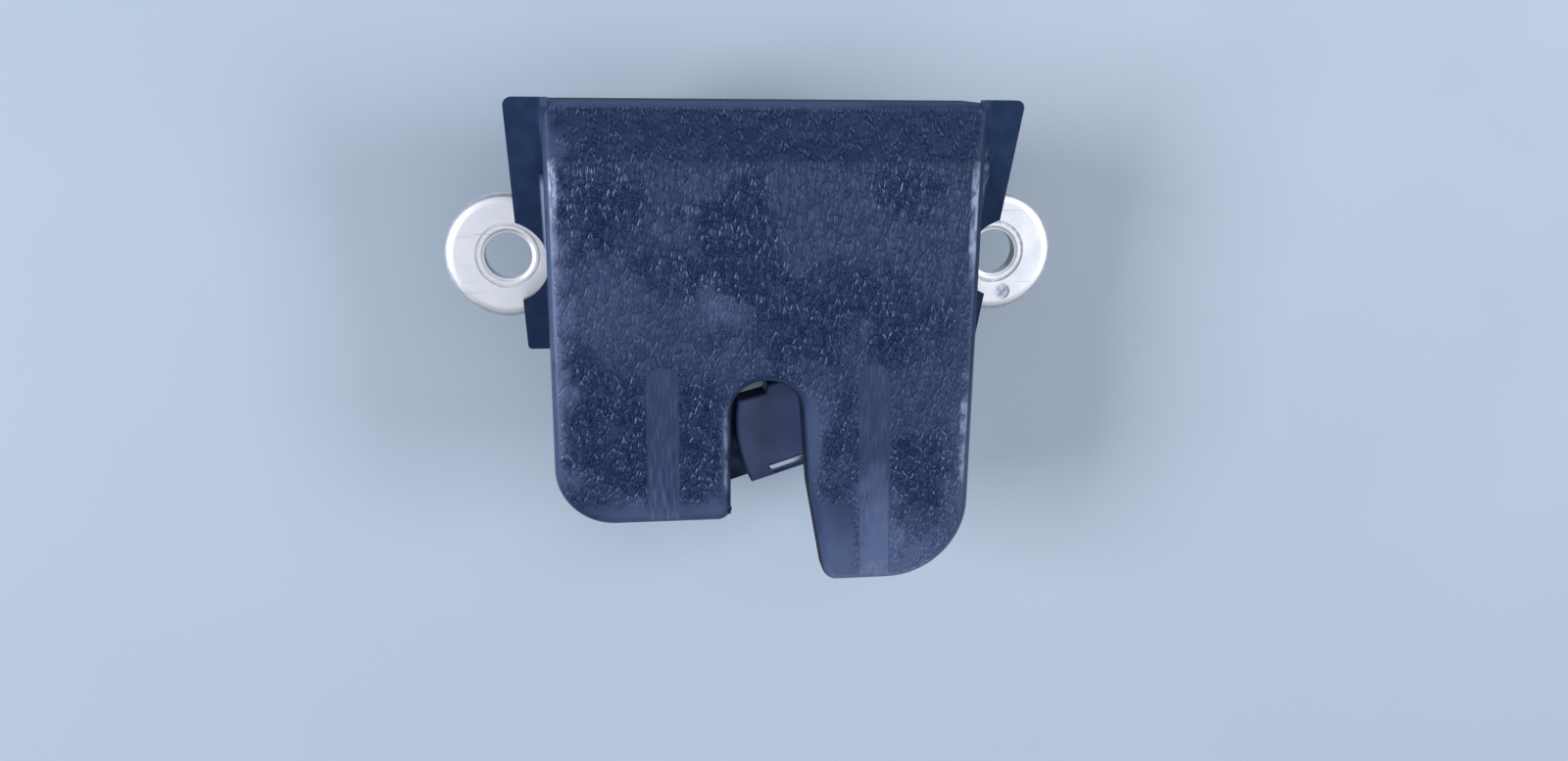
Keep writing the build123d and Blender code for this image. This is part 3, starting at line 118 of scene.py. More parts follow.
@dataclass(frozen=True)
class Signal:
    """A number that flows through a node tree. To reckon with it adds the nodes that do the sum.

    A mask is a signal from 0 to 1: * keeps what two masks share, | joins them, and ~ turns one round.

    Attributes:
        tree: The tree.
        source: The socket that the number comes from, or a plain number.
    """

    tree: Tree
    source: Socket | float

    def reckon(self, operation: str, *others: "Signal | float") -> "Signal":
        """Adds one step of arithmetic.

        Args:
            operation: The step, such as "ADD".
            others: The numbers that follow this one in it.

        Returns:
            The result.
        """
        node = add(self.tree, "ShaderNodeMath", dict(enumerate((self, *others))), operation=operation)
        return Signal(self.tree, node.outputs[0])

    def __add__(self, other: "Signal | float") -> "Signal":
        """The sum of both."""
        return self.reckon("ADD", other)

    def __sub__(self, other: "Signal | float") -> "Signal":
        """This number less the other."""
        return self.reckon("SUBTRACT", other)

    def __rsub__(self, other: float) -> "Signal":
        """A plain number less this one."""
        return Signal(self.tree, other).reckon("SUBTRACT", self)

    def __mul__(self, other: "Signal | float") -> "Signal":
        """The product of both."""
        return self.reckon("MULTIPLY", other)

    def __truediv__(self, other: "Signal | float") -> "Signal":
        """This number over the other."""
        return self.reckon("DIVIDE", other)

    def __or__(self, other: "Signal | float") -> "Signal":
        """The larger of both."""
        return self.reckon("MAXIMUM", other)

    def __invert__(self) -> "Signal":
        """What the mask leaves out."""
        return 1.0 - self

    def __abs__(self) -> "Signal":
        """The number without its sign."""
        return self.reckon("ABSOLUTE")

    __radd__, __rmul__ = __add__, __mul__

    def rise(self, low: float, high: float) -> "Signal":
        """A smooth step from 0 at low to 1 at high."""
        node = add(self.tree, "ShaderNodeMapRange", {0: self, 1: low, 2: high},
                   interpolation_type="SMOOTHSTEP")
        return Signal(self.tree, node.outputs[0])

    def fall(self, low: float, high: float) -> "Signal":
        """A smooth step from 1 at low to 0 at high."""
        return ~self.rise(low, high)

    def lay(self, colour: str, under: Socket | tuple) -> Socket:
        """Lays a colour over another, as far as this mask goes."""
        node = add(self.tree, "ShaderNodeMix", {0: self, 6: under, 7: linear(colour)}, data_type="RGBA")
        return node.outputs[2]


class Relief(Enum):
    """How a surface was made, as the stretch of its fine relief along X, Y and Z."""

    SPARKED = (1.0, 1.0, 1.0)
    ROLLED_X = (0.12, 1.0, 1.0)
    ROLLED_Y = (1.0, 0.12, 1.0)
    TURNED_Z = (1.0, 1.0, 0.15)
    DRAWN_X = (0.1, 1.0, 1.0)


@dataclass(frozen=True)
class Finish:
    """A plain finish: one colour that varies softly, with a fine relief.

    Attributes:
        name: The material's name.
        colour: Its main colour, sRGB hex.
        shade: The colour of its duller patches, sRGB hex.
        metallic: 1 for bare metal, 0 for plastic and rubber.
        roughness: Middle roughness.
        roughness_spread: How far the roughness wanders either way.
        relief: How the surface was made.
        grain_mm: Size of the relief's grains.
        depth_mm: Height of the relief.
        patch_mm: Size of the colour's patches.
        ior: Index of refraction, left alone on metals.
    """

    name: str
    colour: str
    shade: str
    metallic: float
    roughness: float
    roughness_spread: float = 0.06
    relief: Relief = Relief.SPARKED
    grain_mm: float = 0.4
    depth_mm: float = 0.008
    patch_mm: float = 9.0
    ior: float = 1.5

    def build(self) -> bpy.types.Material:
        """Makes the material.

        Returns:
            The material, with its nodes.
        """
        material = bpy.data.materials.new(self.name)
        material.use_nodes = True
        tree = material.node_tree
        tree.nodes.clear()
        shader = add(tree, "ShaderNodeBsdfPrincipled", {"Metallic": self.metallic})
        if not self.metallic:
            shader.inputs["IOR"].default_value = self.ior
        add(tree, "ShaderNodeOutputMaterial", {"Surface": shader.outputs[0]})
        place = add(tree, "ShaderNodeTexCoord").outputs["Object"]
        self.paint(tree, shader, place)
        return material

    def paint(self, tree: Tree, shader: Node, place: Socket) -> None:
        """Feeds the shader's colour, roughness and normal.

        Args:
            tree: The material's tree.
            shader: Its Principled shader.
            place: Object coordinates.
        """
        patches = add(tree, "ShaderNodeTexNoise",
                      {"Vector": place, "Scale": 1 / (self.patch_mm * MM), "Detail": 3.0})
        share = add(tree, "ShaderNodeMapRange", {0: patches.outputs[0], 1: 0.38, 2: 0.62}).outputs[0]
        tone = Signal(tree, share).lay(self.shade, linear(self.colour))
        rough = add(tree, "ShaderNodeMapRange", {0: share, 3: self.roughness - self.roughness_spread,
                                                 4: self.roughness + self.roughness_spread}).outputs[0]
        stretched = add(tree, "ShaderNodeMapping", {0: place, 3: self.relief.value}).outputs[0]
        grain = add(tree, "ShaderNodeTexNoise", {"Vector": stretched, "Scale": 1 / (self.grain_mm * MM),
                                                 "Detail": 4.0, "Roughness": 0.6}).outputs[0]
        bump = add(tree, "ShaderNodeBump", {"Strength": 1.0, "Distance": self.depth_mm * MM, "Height": grain})
        tree.links.new(tone, shader.inputs["Base Color"])
        tree.links.new(rough, shader.inputs["Roughness"])
        tree.links.new(bump.outputs[0], shader.inputs["Normal"])


class CoverPoint:
    """Where a point of the cover lies, in mm.

    Attributes:
        tree: The material's tree.
        at: The point itself.
        x: How far it lies to the right of the middle.
        left: How far it lies to the left of the middle.
        across: How far it lies from the middle, either way.
        y: How far it lies above the bolt holes.
        z: Its height over the base plate.
        depth: How far it lies under the face, which folds up along its top.
        wander: A slow noise.
        ragged: The point, shifted about by that noise.
    """

    def __init__(self, tree: Tree, place: Socket, face_z_mm: float,
                 fold_y_mm: float, fold_slope: float, stray_mm: float) -> None:
        """Reads the point's place.

        Args:
            tree: The material's tree.
            place: Object coordinates.
            face_z_mm: Level of the face.
            fold_y_mm: Where the face folds up.
            fold_slope: How steeply it rises from there.
            stray_mm: How far the noise shifts the point.
        """
        self.tree = tree
        self.at = add(tree, "ShaderNodeVectorMath", {0: place, 3: 1 / MM}, operation="SCALE").outputs[0]
        axes = add(tree, "ShaderNodeSeparateXYZ", {0: self.at}).outputs
        self.x, self.y, self.z = (Signal(tree, axis) for axis in axes)
        self.left, self.across = 0.0 - self.x, abs(self.x)
        self.depth = ((self.y - fold_y_mm) | 0.0) * fold_slope + face_z_mm - self.z
        slow = add(tree, "ShaderNodeTexNoise", {"Vector": self.at, "Scale": 0.16, "Detail": 3.0})
        self.wander = Signal(tree, slow.outputs["Fac"])
        shift = add(tree, "ShaderNodeVectorMath", {0: slow.outputs["Color"], 1: (0.5, 0.5, 0.5)},
                    operation="SUBTRACT").outputs[0]
        self.ragged = add(tree, "ShaderNodeVectorMath", {0: shift, 1: (stray_mm, stray_mm, 0.0), 2: self.at},
                          operation="MULTIPLY_ADD").outputs[0]

    def cloud(self, scale: float, detail: float, stretch: Point = (1.0, 1.0, 1.0)) -> Signal:
        """A noise over the cover, drawn out along its axes.

        Args:
            scale: Grains to a millimetre.
            detail: How many finer layers it has.
            stretch: How much closer the grains stand along X, Y and Z.

        Returns:
            The noise, about 0.5.
        """
        local = add(self.tree, "ShaderNodeMapping", {0: self.at, 3: stretch}).outputs[0]
        cloud = add(self.tree, "ShaderNodeTexNoise", {"Vector": local, "Scale": scale, "Detail": detail})
        return Signal(self.tree, cloud.outputs["Fac"])

    def spots(self, places: Sequence[Spot], core: float, rim: float) -> Signal:
        """Adds up soft, ragged ellipses.

        Args:
            places: X, y, half width, half height and strength of each, in mm.
            core: How far out each is full, as a share of its half sizes.
            rim: How far out it is gone.

        Returns:
            Their sum.
        """
        total = []
        for x, y, half_w, half_h, strength in places:
            local = add(self.tree, "ShaderNodeMapping", {0: self.ragged, 1: (-x / half_w, -y / half_h, 0.0),
                                                         3: (1 / half_w, 1 / half_h, 0.0)}).outputs[0]
            reach = add(self.tree, "ShaderNodeVectorMath", {0: local}, operation="LENGTH").outputs["Value"]
            total.append(Signal(self.tree, reach).fall(core, rim) * strength)
        return sum(total)


@dataclass(frozen=True)
class Region:
    """A soft-edged part of the cover, bounded by any of a point's distances.

    Each bound gives the levels, in mm, where the region starts, is full, is full no longer and ends. None
    leaves that side open.
    """

    x: Span = (None, None, None, None)
    left: Span = (None, None, None, None)
    across: Span = (None, None, None, None)
    y: Span = (None, None, None, None)
    z: Span = (None, None, None, None)
    depth: Span = (None, None, None, None)

    def mask(self, point: CoverPoint) -> Signal:
        """The region's mask.

        Args:
            point: The point of the cover.

        Returns:
            The mask, 1 inside.
        """
        edges = []
        for name in ("x", "left", "across", "y", "z", "depth"):
            start, full, stop, end = getattr(self, name)
            if start is not None:
                edges.append(getattr(point, name).rise(start, full))
            if end is not None:
                edges.append(getattr(point, name).fall(stop, end))
        return reduce(mul, edges)


@dataclass(frozen=True)
class CoverMasks:
    """What each treatment of the cover covers.

    Attributes:
        face: The face inside its rounded edges.
        grained: The part of the face that has the grain.
        crisp: Where that grain is still crisp.
        band: The band along the top.
        insert: The smooth inserts.
        rim: The rims of the inserts.
        scuff_and_highlight: The scuffing and painted highlights on the rounded edges and where the wings
            start.
        slot_shade: The walls of the slot, where shade is painted.
        dull: The walls that show no glare.
    """

    face: Signal
    grained: Signal
    crisp: Signal
    band: Signal
    insert: Signal
    rim: Signal
    scuff_and_highlight: Signal
    slot_shade: Signal
    dull: Signal


@dataclass(frozen=True)
class LeatherGrain(Finish):
    """Moulded plastic with a leather grain that has worn smooth and hazy in places, with painted sheen,
    highlights and shade.

    Attributes:
        face_z_mm: Level of the grained face.
        fold_y_mm: Where the face folds up into the band along the top.
        fold_slope: How steeply the band rises.
        stray_mm: How raggedly the patches end.
        cell_mm: Width and height of a pebble of the grain.
        cell_turn: How far the pebbles lean, in radians.
        cell_bend: How far a pebble strays from its row, as a share of its size.
        crease_depth_mm: Depth of the creases between pebbles.
        insert_depth: Depth of the inserts, as a share of the creases.
        worn: Colour of the hazy, worn plastic, sRGB hex.
        band: Colour of the band along the top, darkened as painted shade where it faces away from the light,
            sRGB hex.
        fresh: Colour of the patches whose grain is still crisp, sRGB hex.
        rubbed_and_sheen: Colour of the palest haze, near the edges, and of the sheen painted on the rounded
            edges, sRGB hex.
        scuffed_highlight: Colour where the rounded edges are worn white, and of the highlights painted on
            them, sRGB hex.
        slot_shade: Colour of painted shade on the walls of the slot, sRGB hex.
        insert: Colour of the smooth inserts, sRGB hex.
        shine: Cast of the bloom's reflections, sRGB hex.
        glint: How much smoother the crisp grain is than the worn.
        edge_shine: How much smoother the rounded edges are.
        wall_dullness: How much rougher the dull walls are.
        haze_dullness: How much rougher the thickest haze is.
        scuff_and_highlight_shine: How much smoother the scuffing and painted highlights are.
        worn_grain: Height of the worn grain, as a share of the crisp.
        band_flattening: How much of its height the grain loses on the band.
        haze_share: How much of the haze's colour shows.
        insert_share: How much of the inserts' colour shows.
        slot_shade_share: How much of the painted shade on the walls of the slot shows.
        rub_and_sheen_limit: The most that the hazing and painted sheen add up to.
        stray_share: How strongly the noise moves the edges of the crisp patches.
        patch_edge: Where a crisp patch starts to fade and is gone, as shares of its half size.
        rub_and_sheen_edge: The same for a patch of hazing and painted sheen.
        scuff_and_highlight_edge: The same for the scuffing with its painted highlight.
        bare_edges_mm: How softly a smooth box ends at its left and foot, its right, and its top.
        insert_edge_mm: How softly an insert ends, either way.
        rim_mm: How far from an insert's edge its rim is full and is gone.
        band_fade_mm: How far under the fold and over it the band's colour fades.
        patches: Crisp patches.
        rubs_and_sheens: Places that handling has hazed, and rounded edges where sheen is painted.
        scuffs_and_highlights: Places where the rounded edges are worn white and where highlights are painted
            on them.
        bare: Smooth boxes on the face, as x low, x high, y low, y high, in mm.
        strips: Smooth inserts, as the x of the middle at the top, y of the top, half width and slant.
        flat: The face inside its rounded edges.
        body: The cover without its wings.
        shoulder: The rounded edges at the sides.
        corner: The start of the rounded edges.
        side_wall: The upper part of the side walls.
        top_wall: The wall along the top.
        slot_wall: The walls of the slot.
        brow_highlight: The rounded edge along the top, where a highlight is painted.
        wing_root_highlight: The thin highlight painted where the left wing starts.
        wing_smear_highlight: The pale highlight painted where the right wing starts.
        lit: Everything high enough for hands to haze, and for the painted sheen on the edges.
    """

    face_z_mm: float = 19.0
    fold_y_mm: float = 19.2
    fold_slope: float = 1.7 / 10.2
    stray_mm: float = 11.0
    cell_mm: tuple[float, float] = (0.72, 1.45)
    cell_turn: float = 0.12
    cell_bend: float = 0.75
    crease_depth_mm: float = 0.36
    insert_depth: float = 0.5
    worn: str = "293758"
    band: str = "051D40"
    fresh: str = "13284A"
    rubbed_and_sheen: str = "5B688B"
    scuffed_highlight: str = "C6CEE4"
    slot_shade: str = "070D1C"
    insert: str = "1E2B4B"
    shine: str = "DFE9FF"
    glint: float = 0.21
    edge_shine: float = 0.05
    wall_dullness: float = 0.5
    haze_dullness: float = 0.08
    scuff_and_highlight_shine: float = 0.08
    worn_grain: float = 0.7
    band_flattening: float = 0.55
    haze_share: float = 0.22
    insert_share: float = 0.6
    slot_shade_share: float = 0.85
    rub_and_sheen_limit: float = 0.8
    stray_share: float = 1.6
    patch_edge: tuple[float, float] = (0.4, 1.45)
    rub_and_sheen_edge: tuple[float, float] = (0.3, 1.25)
    scuff_and_highlight_edge: tuple[float, float] = (0.5, 1.2)
    bare_edges_mm: tuple[float, float, float] = (0.5, 0.7, 1.2)
    insert_edge_mm: float = 0.06
    rim_mm: tuple[float, float] = (0.03, 0.14)
    band_fade_mm: tuple[float, float] = (4.0, 0.6)
    patches: Sequence[Spot] = (
        (-29.5, 12.0, 8.5, 8.5, 1.0), (-5.0, 8.0, 8.0, 9.0, 1.0), (-11.0, -1.0, 13.0, 6.5, 0.9),
        (14.0, -9.0, 21.0, 10.0, 1.0), (-26.5, -32.5, 13.0, 13.0, 1.0), (-12.0, -33.0, 5.5, 13.0, 0.9),
        (29.5, -40.0, 8.5, 9.0, 0.9), (26.0, 14.5, 7.5, 5.5, 0.9), (-34.0, -20.0, 5.0, 9.0, 0.7),
        (15.0, -33.0, 5.0, 12.0, 0.55), (-9.0, -8.0, 4.8, 3.6, -0.9), (17.0, -12.5, 3.4, 4.6, -0.8),
        (10.0, 12.0, 9.0, 6.0, -0.5), (-22.0, -7.0, 9.0, 7.0, -0.5), (33.0, 3.0, 6.0, 9.0, -0.3),
        (32.8, -26.7, 5.5, 5.5, -0.9),
    )
    rubs_and_sheens: Sequence[Spot] = (
        (-39.0, 4.0, 3.4, 28.0, 0.6), (-39.0, -28.0, 4.0, 20.0, 0.45), (-22.0, -48.5, 24.0, 5.0, 0.35),
        (26.0, -60.5, 26.0, 10.0, 0.6), (22.0, -49.0, 5.0, 12.0, 0.6), (8.0, -34.0, 3.5, 14.0, 0.35),
        (40.0, -42.0, 6.0, 22.0, 0.4), (-9.0, -8.0, 4.8, 3.6, 0.3), (-5.2, -36.0, 1.8, 15.0, 0.35),
        (-30.0, -8.0, 9.0, 8.0, 0.15), (11.0, -53.0, 5.0, 9.0, 0.25),
    )
    scuffs_and_highlights: Sequence[Spot] = (
        (-37.8, 15.5, 4.0, 6.0, 0.8), (-37.8, 6.0, 3.0, 6.0, 0.15), (-38.2, -14.0, 3.0, 22.0, 0.08),
        (-6.6, -34.0, 2.0, 9.0, 0.3), (39.0, 9.0, 3.0, 11.0, 0.6), (39.4, -31.0, 2.6, 13.0, 0.45),
        (30.0, -61.0, 20.0, 5.0, 0.15),
    )
    bare: Sequence[tuple[float, float, float, float]] = (
        (-45.0, -6.0, -52.0, -44.3), (6.0, 17.0, -64.0, -45.5), (6.0, 45.0, -64.0, -58.8),
        (-8.6, -5.0, -60.0, -27.0), (5.0, 9.6, -60.0, -24.0),
    )
    strips: Sequence[tuple[float, float, float, float]] = (
        (-19.35, -17.8, 2.95, 0.0), (20.25, -17.9, 2.95, 0.024),
    )
    flat: Region = Region(across=(None, None, 37.2, 38.2), depth=(None, None, 0.02, 0.3))
    body: Region = Region(across=(None, None, 39.3, 39.7))
    shoulder: Region = Region(across=(None, None, 38.1, 38.6), y=(None, None, 19.0, 20.0),
                              depth=(None, None, 0.25, 0.5))
    corner: tuple[Region, Region] = (Region(depth=(0.0, 0.08, None, None)),
                                     Region(across=(36.9, 37.3, None, None)))
    side_wall: Region = Region(across=(38.3, 38.8, 39.35, 39.6), y=(-16.0, -10.0, None, None),
                               depth=(0.4, 0.7, None, None))
    top_wall: Region = Region(y=(28.9, 29.3, None, None), z=(None, None, 19.4, 20.3))
    slot_wall: Region = Region(x=(-8.4, -7.6, 13.0, 14.0), y=(None, None, -15.0, -14.0),
                               z=(None, None, 17.6, 18.5))
    brow_highlight: Region = Region(across=(None, None, 38.9, 39.3), y=(28.2, 28.9, None, None),
                          z=(12.0, 15.0, None, None))
    wing_root_highlight: Region = Region(left=(39.25, 39.4, 39.8, 40.3), y=(-4.0, 4.0, 14.0, 17.0))
    wing_smear_highlight: Region = Region(x=(39.5, 39.9, 40.2, 41.4), y=(4.0, 10.0, 17.0, 23.0))
    lit: Region = Region(z=(17.0, 18.5, None, None))

    def paint(self, tree: Tree, shader: Node, place: Socket) -> None:
        """Feeds the shader with grain, haze, inserts and scuffing, with painted highlights, sheen and shade.

        Args:
            tree: The material's tree.
            shader: Its Principled shader.
            place: Object coordinates.
        """
        point = CoverPoint(tree, place, self.face_z_mm, self.fold_y_mm, self.fold_slope, self.stray_mm)
        haze = point.cloud(0.35, 5.0)
        fine = point.cloud(2.4, 3.0)
        masks = self.masks(point)
        relief = add(tree, "ShaderNodeBump", {"Strength": 1.0, "Distance": self.crease_depth_mm * MM,
                                              "Height": self.height(point, masks, fine)})
        shader.inputs["Specular Tint"].default_value = linear(self.shine)
        tree.links.new(self.tone(point, masks, haze, fine), shader.inputs["Base Color"])
        tree.links.new(self.roughness_of(masks, haze).source, shader.inputs["Roughness"])
        tree.links.new(relief.outputs[0], shader.inputs["Normal"])

    def masks(self, point: CoverPoint) -> CoverMasks:
        """Works out what each treatment covers.

        Args:
            point: The point of the cover.

        Returns:
            The masks.
        """
        face = self.flat.mask(point)
        insert, rim = self.inserts(point)
        soft, side, top = self.bare_edges_mm
        bare = reduce(or_, (Region(x=(left - soft, left + soft, right - side, right + side),
                                   y=(low - soft, low + soft, high - top, high + top)).mask(point)
                            for left, right, low, high in self.bare))
        stray = (point.wander - 0.5) * self.stray_share
        crisp = (point.spots(self.patches, *self.patch_edge) + stray).rise(0.0, 1.0)
        ragged = add(point.tree, "ShaderNodeSeparateXYZ", {0: point.ragged}).outputs["Y"]
        under, over = self.band_fade_mm
        # Painted shade: the walls of the slot are darkened in colour.
        slot_shade = self.slot_wall.mask(point)
        return CoverMasks(
            face=face, grained=face * ~(bare | insert), crisp=crisp,
            band=Signal(point.tree, ragged).rise(self.fold_y_mm - under, self.fold_y_mm + over),
            insert=insert * face, rim=rim * face, scuff_and_highlight=self.scuff_and_highlight(point), slot_shade=slot_shade,
            dull=slot_shade | self.top_wall.mask(point) | self.side_wall.mask(point))

    def inserts(self, point: CoverPoint) -> tuple[Signal, Signal]:
        """Finds the smooth inserts and their rims.

        Args:
            point: The point of the cover.

        Returns:
            The masks of the inserts and of their rims.
        """
        inside, rims = [], []
        for x_mid, y_top, half_w, slant in self.strips:
            along = (point.y - (y_top - half_w)) | 0.0
            across = (point.y - y_top) * slant + point.x - x_mid
            reach = (across * across + along * along).reckon("SQRT")
            inside.append(reach.fall(half_w - self.insert_edge_mm, half_w + self.insert_edge_mm))
            rims.append(abs(reach - half_w).fall(*self.rim_mm))
        return reduce(or_, inside), reduce(or_, rims)

    def scuff_and_highlight(self, point: CoverPoint) -> Signal:
        """Finds the scuffing and painted highlights on the rounded edges, and the painted highlights where
        the wings start.

        Args:
            point: The point of the cover.

        Returns:
            The mask of the scuffing and painted highlights.
        """
        # Partly scuffing, partly highlights painted on the rounded edges; the two places where the wings
        # start are painted highlights.
        streaks = point.cloud(0.8, 4.0, (1.3, 0.5, 1.3))
        rounded = (self.corner[0].mask(point) | self.corner[1].mask(point)) * self.shoulder.mask(point)
        edges = point.spots(self.scuffs_and_highlights, *self.scuff_and_highlight_edge) * rounded * streaks.rise(0.25, 0.6)
        root = self.wing_root_highlight.mask(point) * 0.5
        smear = self.wing_smear_highlight.mask(point) * streaks.rise(0.3, 0.9)
        return edges | root | smear

    def height(self, point: CoverPoint, masks: CoverMasks, fine: Signal) -> Signal:
        """Shapes the relief: pebbles between creases, shallower where worn, and sunk inserts.

        Args:
            point: The point of the cover.
            masks: What each treatment covers.
            fine: The finest noise.

        Returns:
            The height, as a share of the creases' depth.
        """
        cells = add(point.tree, "ShaderNodeMapping", {
            0: point.at, 2: (0.0, 0.0, self.cell_turn),
            3: (1 / self.cell_mm[0], 1 / self.cell_mm[1], 1.0)}).outputs[0]
        bend = add(point.tree, "ShaderNodeTexNoise", {"Vector": cells, "Scale": 0.55, "Detail": 2.0})
        cells = add(point.tree, "ShaderNodeVectorMath", {
            0: bend.outputs["Color"], 1: (self.cell_bend, self.cell_bend, 0.0), 2: cells},
            operation="MULTIPLY_ADD").outputs[0]
        crease = add(point.tree, "ShaderNodeTexVoronoi", {"Vector": cells, "Scale": 1.0},
                     feature="DISTANCE_TO_EDGE", voronoi_dimensions="2D").outputs["Distance"]
        pebble = add(point.tree, "ShaderNodeTexVoronoi", {"Vector": cells, "Scale": 1.0}, feature="F1",
                     voronoi_dimensions="2D").outputs["Color"]
        grain = Signal(point.tree, crease).rise(0.0, 0.34) * (Signal(point.tree, pebble) * 1.3)
        kept = masks.crisp * (1.0 - self.worn_grain) + self.worn_grain
        kept = kept * (1.0 - masks.band * self.band_flattening)
        return ((fine * 0.03 + grain) * (masks.grained * kept) + fine * 0.05
                - masks.insert * self.insert_depth)

    def tone(self, point: CoverPoint, masks: CoverMasks, haze: Signal, fine: Signal) -> Socket:
        """Lays the colours over one another, from the bare plastic to the scuffing with its painted
        highlights and the painted shade on the walls of the slot.

        Args:
            point: The point of the cover.
            masks: What each treatment covers.
            haze: The noise of the haze.
            fine: The finest noise.

        Returns:
            The colour.
        """
        # Partly haze from handling, partly painted sheen on the rounded edges.
        rub_and_sheen = point.spots(self.rubs_and_sheens, *self.rub_and_sheen_edge).reckon("MINIMUM", self.rub_and_sheen_limit) * self.body.mask(point)
        # A highlight painted on the rounded edge along the top, weaker at its right end.
        brow_highlight = self.brow_highlight.mask(point) * (point.x.rise(15.0, 20.0) * -0.25 + 0.45)
        drags = point.cloud(1.0, 2.0, (3.2, 0.22, 1.0))
        foot = point.y.fall(-48.0, -36.0)
        dragged = masks.insert * (drags.rise(0.42, 0.7) * (foot * 0.45 + 0.35))
        speckled = masks.rim * (fine.rise(0.4, 0.65) * 0.45 + 0.2)
        # The band along the top gets a darker colour: painted shade where it faces away from the light.
        tone = masks.band.lay(self.band, linear(self.worn))
        for share, colour in (
            (masks.crisp * masks.grained, self.fresh), (~masks.face, self.colour),
            (haze.rise(0.4, 0.65) * self.haze_share, self.shade),
            (masks.insert * self.insert_share, self.insert),
            # Painted sheen with the haze, a painted highlight along the top edge, and scuffing with painted
            # highlights.
            (rub_and_sheen * self.lit.mask(point), self.rubbed_and_sheen), (brow_highlight, self.rubbed_and_sheen), (masks.scuff_and_highlight, self.scuffed_highlight),
            # Last, painted shade darkens the walls of the slot.
            (speckled | dragged, self.rubbed_and_sheen), (masks.slot_shade * self.slot_shade_share, self.slot_shade),
        ):
            tone = share.lay(colour, tone)
        return tone

    def roughness_of(self, masks: CoverMasks, haze: Signal) -> Signal:
        """Sets the roughness: sharp glints on crisp grain, none on the dull walls.

        Args:
            masks: What each treatment covers.
            haze: The noise of the haze.

        Returns:
            The roughness.
        """
        return (self.roughness - masks.crisp * masks.grained * self.glint - ~masks.face * self.edge_shine
                + masks.dull * self.wall_dullness + haze * self.haze_dullness
                - masks.scuff_and_highlight * self.scuff_and_highlight_shine)


